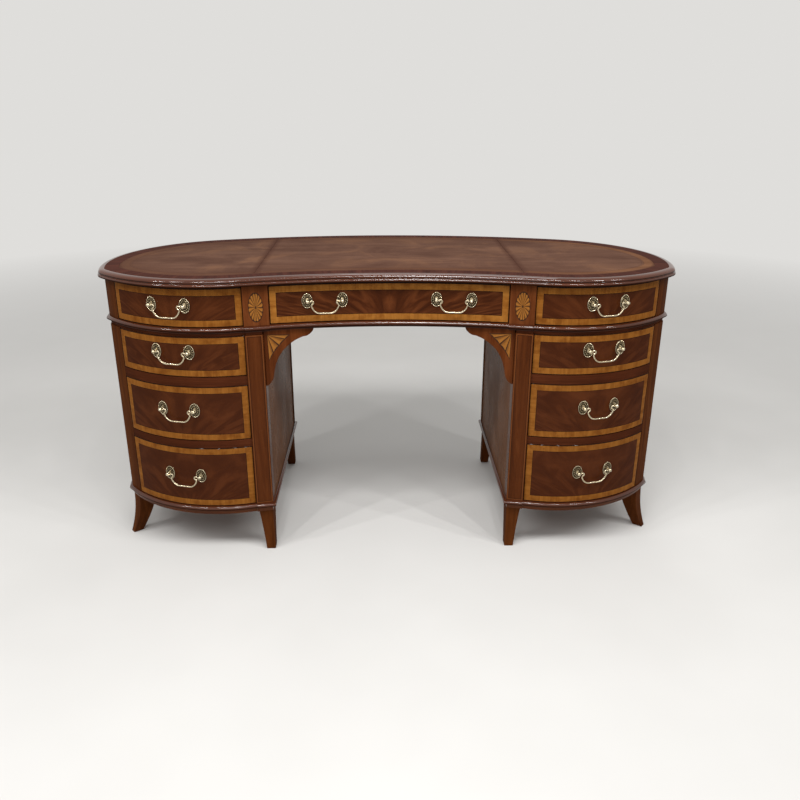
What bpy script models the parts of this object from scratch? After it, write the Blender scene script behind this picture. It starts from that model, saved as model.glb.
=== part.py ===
"""Kidney shaped pedestal desk: a drawered frieze under a writing top, on two drawer pedestals.

Metres, +Z up, front along -Y. The origin is on the floor under the middle of the top.
Run it with blender --background --python part.py, or from the text editor.
"""
import math

import bmesh
import bpy
from mathutils import Matrix, Vector

for old in list(bpy.data.objects):
    bpy.data.objects.remove(old, do_unlink=True)

# Plan of the whole desk
WIDTH = 1.530
DEPTH = 0.672
OVERHANG = 0.023
KNEEHOLE_SHARE = 0.4176
LOBE_R = 0.341
LOBE_INSET = 0.301
CENTRE_RECESS = 0.063
SIDE_AHEAD = 0.105
TOP_SIDE_AHEAD = 0.084
BACK_RISE = 0.065
PILASTER_W = 0.0439
POST_W = 0.0614
POST_PROUD = 0.004
REVEAL = 0.0125
CANT_W = 0.0226
CANT_D = 0.0262
TOP_CORNER_R = 0.060

# Heights, from the floor up
FOOT_H = 0.1230
BASE_T = 0.0251
LOWER_OPENING = 0.1719
LOWER_RAIL = 0.0203
MIDDLE_OPENING = 0.1513
UPPER_RAIL = 0.0248
UPPER_OPENING = 0.1069
TOP_RAIL = 0.0075
DECK_T = 0.0155
FRIEZE_OPENING = 0.1029
TOP_T = 0.0210

# Board thicknesses, mouldings and clearances
SEAT = 0.0003
OVERRUN = 0.010
WELD = 0.00001
SHELL_T = 0.016
PANEL_T = 0.018
PILASTER_D = 0.032
BEAD_H = 0.013
BEAD_REACH = 0.008
APRON_SET = 0.002
RAIL_SET = 0.001
GUIDE_H = 0.012
GUIDE_END_Y = 0.090

# Drawers
FRONT_T = 0.018
FRONT_GAP = 0.0013
BOX_SIDE_T = 0.010
BOX_BOTTOM_T = 0.006
BOX_CLEAR = 0.0008
BOX_HEADROOM = 0.010
BOX_OUTER_SET = 0.026
CENTRE_BOX_END_Y = 0.110

# Facets along the curves of the plan
CENTRE_STEPS = 7
LOBE_STEPS = 11
SIDE_STEPS = 8
BACK_OUTER_STEPS = 2
BACK_MIDDLE_STEPS = 3
CORNER_STEPS = 4
BEAD_STEPS = 4
SHARP_TURN = math.radians(30.0)

# Arcs of the plan, on the line of the drawer faces
KNEE_X = WIDTH * KNEEHOLE_SHARE / 2
POST_OUT_X = KNEE_X + PILASTER_W
POST_IN_X = POST_OUT_X - POST_W
LOBE_X = WIDTH / 2 - LOBE_INSET
LOBE_Y = -DEPTH / 2 + OVERHANG + LOBE_R
CENTRE_FACE_Y = -DEPTH / 2 + OVERHANG + CENTRE_RECESS
CENTRE_R = (LOBE_X**2 + CENTRE_RECESS**2) / (2 * CENTRE_RECESS) - LOBE_R
CENTRE_Y = CENTRE_FACE_Y - CENTRE_R
TANGENT_X = CENTRE_R * LOBE_X / (CENTRE_R + LOBE_R)
BACK_FACE_Y = DEPTH / 2 - OVERHANG


class Rear:
    """The arcs behind the front corners: one round each side, and a flatter one along the back."""

    def __init__(self, ahead):
        self.side_y = -ahead
        self.side_r = BACK_FACE_Y + ahead - BACK_RISE
        self.side_x = WIDTH / 2 - OVERHANG - self.side_r
        reach = (BACK_FACE_Y - self.side_r) ** 2 - self.side_x**2 - self.side_y**2
        self.back_y = reach / (2 * BACK_RISE)
        self.back_r = BACK_FACE_Y - self.back_y
        self.back_turn = math.atan2(self.side_x, self.side_y - self.back_y)

    def middle(self):
        return Vector((self.side_x, self.side_y))


def crossing(first, first_r, second, second_r):
    """The front outer point where two circles cross."""
    span = second - first
    along = (first_r**2 - second_r**2 + span.length_squared) / (2 * span.length)
    across = math.sqrt(first_r**2 - along**2)
    square = Vector((-span.y, span.x)) / span.length
    return first + span / span.length * along + square * across


# The carcase and the top each have their own rear arcs; a cant joins lobe and side
CARCASE = Rear(SIDE_AHEAD)
TOP = Rear(TOP_SIDE_AHEAD)
CANT = Vector((CANT_W, CANT_D))
CORNER = crossing(Vector((LOBE_X, LOBE_Y)), LOBE_R, CARCASE.middle() - CANT, CARCASE.side_r)
CORNER_X = CORNER.x
DRAWER_OUT_X = CORNER_X - REVEAL
CORNER_TURN = math.asin((CORNER_X - LOBE_X) / LOBE_R)
SIDE_TURN = math.asin((CORNER.y + CANT_D - CARCASE.side_y) / CARCASE.side_r)


def clear_of_shell(x):
    """How far back a straight piece can run at x inside the bent side."""
    reach = CARCASE.side_r - SHELL_T - OVERRUN
    return CARCASE.side_y + math.sqrt(reach**2 - (x - CARCASE.side_x) ** 2)


BOX_OUT_X = DRAWER_OUT_X - BOX_OUTER_SET
SIDE_BOX_END_Y = clear_of_shell(BOX_OUT_X)

# Levels, worked out from the heights
BASE_LOW = FOOT_H + SEAT
BASE_TOP = BASE_LOW + BASE_T
LOWER_TOP = BASE_TOP + LOWER_OPENING
MIDDLE_LOW = LOWER_TOP + LOWER_RAIL
MIDDLE_TOP = MIDDLE_LOW + MIDDLE_OPENING
UPPER_LOW = MIDDLE_TOP + UPPER_RAIL
PEDESTAL_TOP = UPPER_LOW + UPPER_OPENING
DECK_LOW = PEDESTAL_TOP + SEAT
KNEE_CEILING = DECK_LOW + TOP_RAIL
DECK_TOP = KNEE_CEILING + DECK_T
FRIEZE_TOP = DECK_TOP + FRIEZE_OPENING
TOP_LOW = FRIEZE_TOP + SEAT
TOP_HIGH = TOP_LOW + TOP_T


def collection(name):
    made = bpy.data.collections.new(name)
    bpy.context.scene.collection.children.link(made)
    return made


DESK = collection("kidney_desk")
CUTTERS = collection("cutters")


def finish(name, color, roughness, metallic=0.0):
    """A Principled material under the piece's own name."""
    material = bpy.data.materials.new(name)
    material.use_nodes = True
    shader = material.node_tree.nodes["Principled BSDF"]
    shader.inputs["Base Color"].default_value = (*color, 1.0)
    shader.inputs["Roughness"].default_value = roughness
    shader.inputs["Metallic"].default_value = metallic
    return material


MAHOGANY = ((0.105, 0.030, 0.013), 0.28)
DARK_MAHOGANY = ((0.060, 0.020, 0.014), 0.25)
OAK_LINING = ((0.42, 0.27, 0.13), 0.60)
LEATHER = ((0.150, 0.055, 0.028), 0.42)
BRASS = ((0.62, 0.48, 0.26), 0.30, 1.0)


def place(obj, home=DESK):
    home.objects.link(obj)
    return obj


def mesh_object(name, bm, color, home=DESK):
    """Closes a bmesh into an object with its faces pointing out."""
    bmesh.ops.remove_doubles(bm, verts=bm.verts, dist=WELD)
    bmesh.ops.recalc_face_normals(bm, faces=bm.faces)
    mesh = bpy.data.meshes.new(name)
    bm.to_mesh(mesh)
    bm.free()
    mesh.materials.append(finish(name, *color))
    return place(bpy.data.objects.new(name, mesh), home)


def evaluated_bmesh(obj):
    """The object's shape with its modifiers, in world coordinates."""
    bpy.context.view_layer.update()
    graph = bpy.context.evaluated_depsgraph_get()
    mesh = bpy.data.meshes.new_from_object(obj.evaluated_get(graph), depsgraph=graph)
    bm = bmesh.new()
    bm.from_mesh(mesh)
    bm.transform(obj.matrix_world)
    bpy.data.meshes.remove(mesh)
    return bm


def hide_tool(obj):
    obj.hide_render = True
    obj.display_type = "WIRE"
    return obj


def board(name, outline, low, high, color, home=DESK):
    """A flat board: a filled 2D curve with an extrude, made a mesh."""
    curve = bpy.data.curves.new(name, "CURVE")
    curve.dimensions = "2D"
    curve.fill_mode = "BOTH"
    curve.extrude = (high - low) / 2
    spline = curve.splines.new("POLY")
    spline.points.add(len(outline) - 1)
    for point, (x, y) in zip(spline.points, outline):
        point.co = (x, y, 0.0, 1.0)
    spline.use_cyclic_u = True
    guide = place(bpy.data.objects.new(name, curve), CUTTERS)
    guide.location.z = (low + high) / 2
    bm = evaluated_bmesh(guide)
    bpy.data.objects.remove(guide)
    bpy.data.curves.remove(curve)
    return mesh_object(name, bm, color, home)


def block(name, low, high, color, home=DESK):
    """A box between two corners."""
    bm = bmesh.new()
    bmesh.ops.create_cube(bm, size=1.0)
    size = Vector(high) - Vector(low)
    bmesh.ops.scale(bm, vec=size, verts=bm.verts)
    bmesh.ops.translate(bm, vec=Vector(low) + size / 2, verts=bm.verts)
    return mesh_object(name, bm, color, home)


def loft(name, rings, color, home=DESK):
    """A closed body through rings that have the same number of points."""
    bm = bmesh.new()
    loops = [[bm.verts.new(point) for point in ring] for ring in rings]
    for lower, upper in zip(loops, loops[1:]):
        for i, vertex in enumerate(lower):
            j = (i + 1) % len(lower)
            bm.faces.new((vertex, lower[j], upper[j], upper[i]))
    bm.faces.new(reversed(loops[0]))
    bm.faces.new(loops[-1])
    return mesh_object(name, bm, color, home)


def join(obj, tool, operation="UNION"):
    """Adds a Boolean with a tool that stays out of the model."""
    modifier = obj.modifiers.new(tool.name, "BOOLEAN")
    modifier.operation = operation
    modifier.solver = "EXACT"
    modifier.object = hide_tool(tool)


def left_of(obj, name, home=DESK):
    """The left-hand twin of a right-hand piece."""
    bm = evaluated_bmesh(obj)
    bmesh.ops.transform(bm, matrix=Matrix.Scale(-1.0, 4, (1.0, 0.0, 0.0)), verts=bm.verts)
    bmesh.ops.reverse_faces(bm, faces=bm.faces)
    mesh = bpy.data.meshes.new(name)
    bm.to_mesh(mesh)
    bm.free()
    material = obj.data.materials[0].copy()
    material.name = name
    mesh.materials.append(material)
    return place(bpy.data.objects.new(name, mesh), home)


def steps(first, last, count):
    return [first + (last - first) * i / count for i in range(count + 1)]


def mix(a, b, share):
    return a + (b - a) * share


# Nodes of the front line, as places along X on the line of the drawer faces
CENTRE_NODES = steps(0.0, POST_IN_X, CENTRE_STEPS)
POST_TURN = math.asin((POST_OUT_X - LOBE_X) / LOBE_R)
LOBE_NODES = [LOBE_X + LOBE_R * math.sin(a) for a in steps(POST_TURN, CORNER_TURN, LOBE_STEPS)]


def front_point(x, out):
    """The front line's point at x, moved out square to the line."""
    if x < TANGENT_X:
        turn, radius = math.asin(x / CENTRE_R), CENTRE_R - out
        return radius * math.sin(turn), CENTRE_Y + radius * math.cos(turn)
    turn, radius = math.asin((x - LOBE_X) / LOBE_R), LOBE_R + out
    return LOBE_X + radius * math.sin(turn), LOBE_Y - radius * math.cos(turn)


def curve_y(x, out):
    """Y of the offset front line straight above x."""
    tangent_x = LOBE_X - (LOBE_R + out) * LOBE_X / (CENTRE_R + LOBE_R)
    if x < tangent_x:
        return CENTRE_Y + math.sqrt((CENTRE_R - out) ** 2 - x**2)
    return LOBE_Y - math.sqrt((LOBE_R + out) ** 2 - (x - LOBE_X) ** 2)


def face_y(x, out):
    """Y on the facets that all drawer fronts and rails share."""
    nodes = CENTRE_NODES + LOBE_NODES
    for a, b in zip(nodes, nodes[1:]):
        if x <= b:
            break
    return mix(curve_y(a, out), curve_y(b, out), (abs(x) - a) / (b - a))


def face_line(first, last, out):
    """The front line from first to last, both on the right half."""
    inner = [x for x in CENTRE_NODES + LOBE_NODES if first + WELD < x < last - WELD]
    return [(x, face_y(x, out)) for x in [first, *inner, last]]


def back_line(out, rear=CARCASE):
    """The back from the end of the side arc to the middle of the desk."""
    knee_turn = math.asin(KNEE_X / rear.back_r)
    turns = steps(rear.back_turn, knee_turn, BACK_OUTER_STEPS)
    turns += steps(knee_turn, 0.0, BACK_MIDDLE_STEPS)[1:]
    radius = rear.back_r + out
    return [(radius * math.sin(a), rear.back_y + radius * math.cos(a)) for a in turns]


def back_y(x, out):
    """Y on the facets of the back."""
    line = back_line(out)
    for a, b in zip(line, line[1:]):
        if x >= b[0]:
            break
    return mix(a[1], b[1], (a[0] - x) / (a[0] - b[0]))


def side_point(turn, out, rear=CARCASE):
    """The side's point in the direction turn from its middle."""
    radius = rear.side_r + out
    return rear.side_x + radius * math.cos(turn), rear.side_y + radius * math.sin(turn)


def side_line(out, first=SIDE_TURN, rear=CARCASE):
    """The side from just behind its front corner to just before the back."""
    turns = steps(first, math.pi / 2 - rear.back_turn, SIDE_STEPS)[1:-1]
    return [side_point(turn, out, rear) for turn in turns]


def cant_points(out):
    """The two ends of the canted corner, moved out with a mitre at the rear end."""
    first = Vector(front_point(CORNER_X, 0.0))
    last = Vector(side_point(SIDE_TURN, 0.0))
    along = (last - first).normalized()
    square = Vector((along.y, -along.x))
    radial = Vector((math.cos(SIDE_TURN), math.sin(SIDE_TURN)))
    mitre = (square + radial) / (1.0 + square.dot(radial))
    return tuple(front_point(CORNER_X, out)), tuple(last + mitre * out)


def mirrored_ring(half):
    """A whole ring from its right half, which starts and ends on the middle line."""
    return half + [(-x, y) for x, y in reversed(half[1:-1])]


def post_steps(out, proud):
    """The front line's step out and back round a post."""
    inner, outer = out, out + proud
    places = ((POST_IN_X, inner), (POST_IN_X, outer), (POST_OUT_X, outer), (POST_OUT_X, inner))
    return [front_point(x, amount) for x, amount in places]


def top_ring(out):
    """The kidney of the top, whose front corners are arcs that touch the lobe's and the side's."""
    radius = TOP_CORNER_R - OVERHANG
    middle = crossing(
        Vector((LOBE_X, LOBE_Y)), LOBE_R - radius, TOP.middle(), TOP.side_r - radius)
    first = math.atan2(middle.y - LOBE_Y, middle.x - LOBE_X)
    last = math.atan2(middle.y - TOP.side_y, middle.x - TOP.side_x)
    start_x = LOBE_X + LOBE_R * math.cos(first)
    half = [front_point(x, out) for x in CENTRE_NODES + LOBE_NODES if x < start_x - CORNER_CLEAR]
    for turn in steps(first, last, CORNER_STEPS):
        corner = middle + Vector((math.cos(turn), math.sin(turn))) * (radius + out)
        half.append(tuple(corner))
    return mirrored_ring(half + side_line(out, last, TOP) + back_line(out, TOP))


def deck_ring(out):
    """The kidney of the frieze and its bead, stepped round the posts."""
    half = [front_point(x, out) for x in CENTRE_NODES[:-1]]
    half += post_steps(out, POST_PROUD)
    half += [front_point(x, out) for x in LOBE_NODES[1:-1]]
    return mirrored_ring(half + list(cant_points(out)) + side_line(out) + back_line(out))


def pedestal_ring(out, post_x=POST_OUT_X):
    """The lobe of the right pedestal, stepped round its inner pilaster, which ends at post_x."""
    knee = KNEE_X - out
    proud = out + POST_PROUD
    ring = [(knee, face_y(KNEE_X, proud)), front_point(post_x, proud), front_point(post_x, out)]
    ring += [front_point(x, out) for x in LOBE_NODES[1:-1]]
    ring += list(cant_points(out)) + side_line(out)
    ring += back_line(out)[:BACK_OUTER_STEPS]
    return ring + [(knee, back_y(KNEE_X, out))]


def at_height(ring, z):
    return [(x, y, z) for x, y in ring]


def half_round(ring, low, high, out):
    """Rings up a half-round bead."""
    rings = []
    for turn in steps(-math.pi / 2, math.pi / 2, BEAD_STEPS):
        level = mix(low, high, (1.0 + math.sin(turn)) / 2)
        rings.append(at_height(ring(out * math.cos(turn)), level))
    return rings


# Writing top: edge profile as (share of the nose's reach, share of the thickness)
NOSE_REACH = 0.018
NOSE_SHARES = (
    (0.30, 0.00), (0.85, 0.03), (1.00, 0.22), (0.93, 0.40), (0.78, 0.47),
    (0.78, 0.53), (0.88, 0.62), (0.78, 0.82), (0.45, 0.97), (0.00, 1.00),
)
CORNER_CLEAR = 0.008
FIELD_BORDER = 0.055
FIELD_DROP = 0.0015
LEATHER_T = 0.0012
SEAM_X = 0.338


def top_board():
    rings = []
    for reach, rise in NOSE_SHARES:
        ring = top_ring(OVERHANG - NOSE_REACH * (1.0 - reach))
        rings.append(at_height(ring, mix(TOP_LOW, TOP_HIGH, rise)))
    field = top_ring(OVERHANG - FIELD_BORDER)
    rings.append(at_height(field, TOP_HIGH))
    rings.append(at_height(field, TOP_HIGH - FIELD_DROP))
    loft("top_board", rings, DARK_MAHOGANY)


def cut_at(outline, limit, side):
    """The part of an outline on one side of the line x = limit."""
    kept = []
    for (ax, ay), (bx, by) in zip(outline, outline[1:] + outline[:1]):
        if side * (ax - limit) >= 0:
            kept.append((ax, ay))
        if (ax - limit) * (bx - limit) < 0:
            kept.append((limit, mix(ay, by, (limit - ax) / (bx - ax))))
    return kept


def leather_panels():
    """Three skins let into the top, meeting at two seams."""
    field = top_ring(OVERHANG - FIELD_BORDER - SEAT)
    low = TOP_HIGH - FIELD_DROP + SEAT
    half_seam = SEAT / 2
    right = cut_at(field, SEAM_X + half_seam, 1)
    middle = cut_at(cut_at(field, SEAM_X - half_seam, -1), half_seam - SEAM_X, 1)
    panel = board("leather_right", right, low, low + LEATHER_T, LEATHER)
    board("leather_centre", middle, low, low + LEATHER_T, LEATHER)
    left_of(panel, "leather_left")


def frieze_deck():
    """The frieze's bottom board with the bead round the desk, and a rail above each pedestal."""
    bead_low = DECK_TOP - BEAD_H
    board_levels = (KNEE_CEILING, bead_low - RAIL_SET)
    rings = [at_height(deck_ring(-RAIL_SET), level) for level in board_levels]
    deck = loft("frieze_deck", rings + half_round(deck_ring, bead_low, DECK_TOP, BEAD_REACH), MAHOGANY)
    overlap = mix(KNEE_CEILING, bead_low, 0.5)
    inside = POST_OUT_X - APRON_SET
    rail = [at_height(pedestal_ring(-APRON_SET, inside), level) for level in (DECK_LOW, overlap)]
    right = loft("rail_right_tool", rail, MAHOGANY, CUTTERS)
    join(deck, right)
    join(deck, left_of(right, "rail_left_tool", CUTTERS))


def corner_block(depth):
    """The outer corner post behind the cant: its outline from the drawer round to the side."""
    drawer_edge = (DRAWER_OUT_X, face_y(DRAWER_OUT_X, 0.0))
    first, last = cant_points(0.0)
    behind = side_point(SIDE_TURN, -SHELL_T)
    return [drawer_edge, first, last, behind, (DRAWER_OUT_X, drawer_edge[1] + depth)]


def frieze_shell():
    """One bent board round the sides and back, with a corner post at each front end."""
    corner = corner_block(PILASTER_D)
    outer = corner[:3] + side_line(0.0) + back_line(0.0)
    inner = back_line(-SHELL_T)[::-1] + side_line(-SHELL_T)[::-1] + corner[3:]
    outer += [(-x, y) for x, y in reversed(outer[:-1])]
    inner = [(-x, y) for x, y in reversed(inner[1:])] + inner
    board("frieze_shell", outer + inner, DECK_TOP + SEAT, FRIEZE_TOP, MAHOGANY)


def frieze_dividers():
    """Post, partition and drawer guides between two frieze drawers."""
    low = DECK_TOP + SEAT
    back = face_y(POST_IN_X, 0.0) + PILASTER_D
    post = face_line(POST_IN_X, POST_OUT_X, POST_PROUD) + [(POST_OUT_X, back), (POST_IN_X, back)]
    right = board("frieze_divider_right", post, low, FRIEZE_TOP, MAHOGANY)
    wall = (POST_IN_X + POST_OUT_X - PANEL_T) / 2
    ends = [back_y(x, -SHELL_T) - SEAT for x in (wall, wall + PANEL_T)]
    overlap = back - OVERRUN
    plan = [(wall, overlap), (wall + PANEL_T, overlap), (wall + PANEL_T, ends[1]), (wall, ends[0])]
    join(right, board("frieze_partition_tool", plan, low, FRIEZE_TOP, MAHOGANY, CUTTERS))
    guides = (POST_IN_X, overlap, low), (POST_OUT_X, GUIDE_END_Y, low + GUIDE_H)
    join(right, block("frieze_guide_tool", *guides, MAHOGANY, CUTTERS))
    left_of(right, "frieze_divider_left")


def pedestal_guides(level, name):
    """The strips that keep a drawer straight, as tools to join to the board below."""
    start = face_y(DRAWER_OUT_X, 0.0) + PILASTER_D + OVERRUN
    near = block(
        name + "_near_tool",
        (KNEE_X + PANEL_T + SEAT, start, level - RAIL_SET),
        (POST_OUT_X, GUIDE_END_Y, level + GUIDE_H), MAHOGANY, CUTTERS)
    far = block(
        name + "_far_tool",
        (BOX_OUT_X + BOX_CLEAR, start, level - RAIL_SET),
        (DRAWER_OUT_X, clear_of_shell(DRAWER_OUT_X), level + GUIDE_H), MAHOGANY, CUTTERS)
    return near, far


def pedestal_base():
    """Bottom board with its bead and the narrow apron below."""
    bead_low = BASE_TOP - BEAD_H
    board_levels = (BASE_LOW, bead_low - APRON_SET)
    rings = [at_height(pedestal_ring(-APRON_SET), level) for level in board_levels]
    rings += half_round(pedestal_ring, bead_low, BASE_TOP, BEAD_REACH)
    base = loft("pedestal_right_base", rings, MAHOGANY)
    for tool in pedestal_guides(BASE_TOP, "base_guide"):
        join(base, tool)
    left_of(base, "pedestal_left_base")


def pedestal_walls():
    """Kneehole panel, bent outer shell and the two front pilasters."""
    low, high = BASE_TOP + SEAT, PEDESTAL_TOP
    pilaster_back = face_y(KNEE_X, 0.0) + PILASTER_D
    front = face_line(KNEE_X, POST_OUT_X, POST_PROUD)
    plan = front + [(POST_OUT_X, pilaster_back), (KNEE_X, pilaster_back)]
    inner = board("pedestal_right_inner_pilaster", plan, low, high, MAHOGANY)
    left_of(inner, "pedestal_left_inner_pilaster")

    start, inside = pilaster_back + SEAT, KNEE_X + PANEL_T
    ends = [back_y(x, -SHELL_T) - SEAT for x in (KNEE_X, inside)]
    plan = [(KNEE_X, start), (inside, start), (inside, ends[1]), (KNEE_X, ends[0])]
    panel = board("pedestal_right_kneehole_panel", plan, low, high, MAHOGANY)
    left_of(panel, "pedestal_left_kneehole_panel")

    outer = board("pedestal_right_outer_pilaster", corner_block(PILASTER_D), low, high, MAHOGANY)
    left_of(outer, "pedestal_left_outer_pilaster")

    first = SIDE_TURN + SEAT / CARCASE.side_r
    faces = []
    for out in (0.0, -SHELL_T):
        line = [side_point(first, out)] + side_line(out) + back_line(out)[:BACK_OUTER_STEPS]
        faces.append(line + [(KNEE_X, back_y(KNEE_X, out))])
    shell = board("pedestal_right_shell", faces[0] + faces[1][::-1], low, high, MAHOGANY)
    left_of(shell, "pedestal_left_shell")


def dust_board(level, thickness, name):
    """A rail and dust board in one, let in between the pilasters and the shell."""
    corner = corner_block(PILASTER_D)
    inset = SHELL_T + SEAT
    plan = face_line(POST_OUT_X + SEAT, DRAWER_OUT_X - SEAT, -RAIL_SET)
    plan += [(DRAWER_OUT_X - SEAT, corner[4][1] + SEAT)]
    plan += [side_point(SIDE_TURN + 2 * SEAT / CARCASE.side_r, -inset)]
    plan += side_line(-inset) + back_line(-inset)[:BACK_OUTER_STEPS]
    inside = KNEE_X + PANEL_T + SEAT
    notch = face_y(KNEE_X, 0.0) + PILASTER_D + SEAT
    plan += [(inside, back_y(inside, -inset)), (inside, notch), (POST_OUT_X + SEAT, notch)]
    right = board(f"pedestal_right_{name}", plan, level, level + thickness, MAHOGANY)
    for tool in pedestal_guides(level + thickness, name):
        join(right, tool)
    left_of(right, f"pedestal_left_{name}")


# Kneehole brackets: outline as shares of width and height, from the top inner corner
BRACKET_W = 0.1276
BRACKET_H = 0.149
BRACKET_T = 0.018
BRACKET_SET = 0.006
BRACKET_SHARES = (
    (0.000, 0.000), (1.000, 0.000), (0.968, 0.060), (0.874, 0.127), (0.770, 0.146), (0.640, 0.192),
    (0.519, 0.257), (0.425, 0.325), (0.343, 0.400), (0.272, 0.495), (0.216, 0.605), (0.180, 0.720),
    (0.159, 0.825), (0.125, 0.905), (0.070, 0.965), (0.014, 1.000), (0.000, 1.000),
)


def bracket():
    """A cusped spandrel bracket in the angle of kneehole and pedestal."""
    outline = [(-x * BRACKET_W, -z * BRACKET_H) for x, z in BRACKET_SHARES]
    right = board("bracket_right", outline, -BRACKET_T / 2, BRACKET_T / 2, MAHOGANY)
    near = Vector((KNEE_X, face_y(KNEE_X, 0.0)))
    far = Vector((KNEE_X - BRACKET_W, face_y(KNEE_X - BRACKET_W, 0.0)))
    slope = math.atan2(near.y - far.y, near.x - far.x)
    turn = Matrix.Rotation(slope, 4, "Z") @ Matrix.Rotation(math.pi / 2, 4, "X")
    right.data.transform(turn)
    back = BRACKET_SET + BRACKET_T / 2
    seat = max(vertex.co.x for vertex in right.data.vertices)
    right.location = (KNEE_X - SEAT - seat, near.y + back, KNEE_CEILING - SEAT)
    left_of(right, "bracket_left")


# Feet: square legs that taper and kick outwards
FOOT_DEPTH = 0.052
TOE_W = 0.018
TOE_D = 0.028
INNER_TOE_W = 0.024
OUTER_KICK = (0.027, 0.0055)
REAR_KICK = 0.013
REAR_FOOT_TURN = math.radians(44.0)
REAR_FOOT_SET = 0.004
FOOT_STEPS = 6
OUT_CURL = 2.0
IN_CURL = 0.75
SPLAY_CURL = 1.4


def foot(name, top, bottom, curls):
    """A leg lofted between two sections, each corner on its own curve."""
    rings = []
    for share in steps(0.0, 1.0, FOOT_STEPS):
        ring = []
        for (tx, ty), (bx, by), curl in zip(top, bottom, curls):
            bend = share**curl
            ring.append((mix(tx, bx, bend), mix(ty, by, bend), FOOT_H * (1.0 - share)))
        rings.append(ring)
    right = loft(f"foot_right_{name}", rings[::-1], MAHOGANY)
    left_of(right, f"foot_left_{name}")


def square_leg(middle, outward, width, toe, kick):
    """Top and bottom sections of a leg whose outer face is centred on middle."""
    along = Vector((-outward.y, outward.x))
    top, bottom = [], []
    for across, depth in ((-1, 0.0), (1, 0.0), (1, 1.0), (-1, 1.0)):
        top.append(tuple(middle + along * (across * width / 2) - outward * (depth * FOOT_DEPTH)))
        end = middle + kick
        bottom.append(tuple(end + along * (across * toe / 2) - outward * (depth * TOE_D)))
    return top, bottom


def feet():
    """Four legs under a pedestal: at the kneehole, at the cant and behind."""
    front = face_y(KNEE_X, POST_PROUD - APRON_SET)
    deep, toe_end = front + FOOT_DEPTH, front + TOE_D
    inside = KNEE_X + APRON_SET
    outside = POST_OUT_X - APRON_SET
    top = [(inside, front), (outside, front), (outside, deep), (inside, deep)]
    toe = inside + INNER_TOE_W
    bottom = [(inside, front), (toe, front), (toe, toe_end), (inside, toe_end)]
    foot("front_inner", top, bottom, (1.0, IN_CURL, IN_CURL, IN_CURL))

    first, last = (Vector(point) for point in cant_points(-APRON_SET))
    outward = Vector(((last - first).y, -(last - first).x)).normalized()
    top, bottom = square_leg((first + last) / 2, outward, (last - first).length, TOE_W, Vector(OUTER_KICK))
    foot("front_outer", top, bottom, (OUT_CURL, OUT_CURL, SPLAY_CURL, SPLAY_CURL))

    rear = back_y(outside, -APRON_SET)
    top = [(inside, rear - FOOT_DEPTH), (outside, rear - FOOT_DEPTH), (outside, rear), (inside, rear)]
    kicked = rear + REAR_KICK
    bottom = [(inside, kicked - TOE_D), (toe, kicked - TOE_D), (toe, kicked), (inside, kicked)]
    foot("rear_inner", top, bottom, (IN_CURL, IN_CURL, OUT_CURL, OUT_CURL))

    outward = Vector((math.cos(REAR_FOOT_TURN), math.sin(REAR_FOOT_TURN)))
    middle = Vector(side_point(REAR_FOOT_TURN, -REAR_FOOT_SET))
    top, bottom = square_leg(middle, outward, PILASTER_W, INNER_TOE_W, outward * REAR_KICK)
    foot("rear_outer", top, bottom, (OUT_CURL, OUT_CURL, IN_CURL, IN_CURL))


# Handles: two oval plates with ball posts, and a bail that swings between them
BORING = 0.0889
PLATE_W = 0.0275
PLATE_H = 0.0385
PLATE_T = 0.0032
PLATE_SINK = 0.0010
PLATE_TOP_SHARE = 0.70
PLATE_STEPS = 14
POST_R = 0.0032
BALL_R = 0.0050
BALL_REACH = 0.0135
POST_STEPS = 10
BALL_STEPS = 5
BAIL_R = 0.0019
BAIL_DROP = 0.0300
BAIL_SHAPE_SHARES = (
    (1.000, 0.000), (0.945, 0.000), (0.875, -0.060), (0.795, -0.030), (0.753, 0.073), (0.785, 0.180),
    (0.857, 0.253), (0.883, 0.347), (0.852, 0.483), (0.782, 0.650), (0.679, 0.820), (0.537, 0.947),
    (0.374, 1.000), (0.000, 1.000),
)
LOBE_HANDLE_TURN = math.radians(14.15)
HANDLE_HEIGHT_SHARE = {"frieze": 0.550, "upper": 0.625, "middle": 0.571, "lower": 0.533}
CENTRE_HANDLE_X = 0.1635


def screw_tool(name, profile, count, color):
    """A turned shape about Z from a profile that starts and ends on the axis."""
    mesh = bpy.data.meshes.new(name)
    edges = [(i, i + 1) for i in range(len(profile) - 1)]
    mesh.from_pydata([(r, 0.0, z) for r, z in profile], edges, [])
    mesh.materials.append(finish(name, *color))
    obj = place(bpy.data.objects.new(name, mesh), CUTTERS)
    screw = obj.modifiers.new("turn", "SCREW")
    screw.steps = screw.render_steps = count
    screw.use_merge_vertices = True
    screw.merge_threshold = WELD
    screw.use_smooth_shade = True
    return obj


def ball_post(name):
    """Stem and ball, turned: the profile runs from the ball's tip down its outer side."""
    tip = BALL_REACH + BALL_R
    waist = math.sqrt(BALL_R**2 - POST_R**2)
    profile = [(0.0, tip)]
    for turn in steps(math.pi / 2, -math.acos(POST_R / BALL_R), BALL_STEPS)[1:-1]:
        profile.append((BALL_R * math.cos(turn), BALL_REACH + BALL_R * math.sin(turn)))
    profile += [(POST_R, BALL_REACH - waist), (POST_R, -PLATE_SINK), (0.0, -PLATE_SINK)]
    return screw_tool(name, profile, POST_STEPS, BRASS)


def oval_plate(name):
    bm = bmesh.new()
    depth = PLATE_T + PLATE_SINK
    bmesh.ops.create_cone(
        bm, cap_ends=True, segments=PLATE_STEPS, radius1=PLATE_W / 2,
        radius2=PLATE_W / 2 * PLATE_TOP_SHARE, depth=depth)
    bmesh.ops.translate(bm, vec=(0.0, 0.0, depth / 2 - PLATE_SINK), verts=bm.verts)
    bmesh.ops.scale(bm, vec=(1.0, PLATE_H / PLATE_W, 1.0), verts=bm.verts)
    return mesh_object(name, bm, BRASS, CUTTERS)


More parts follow.
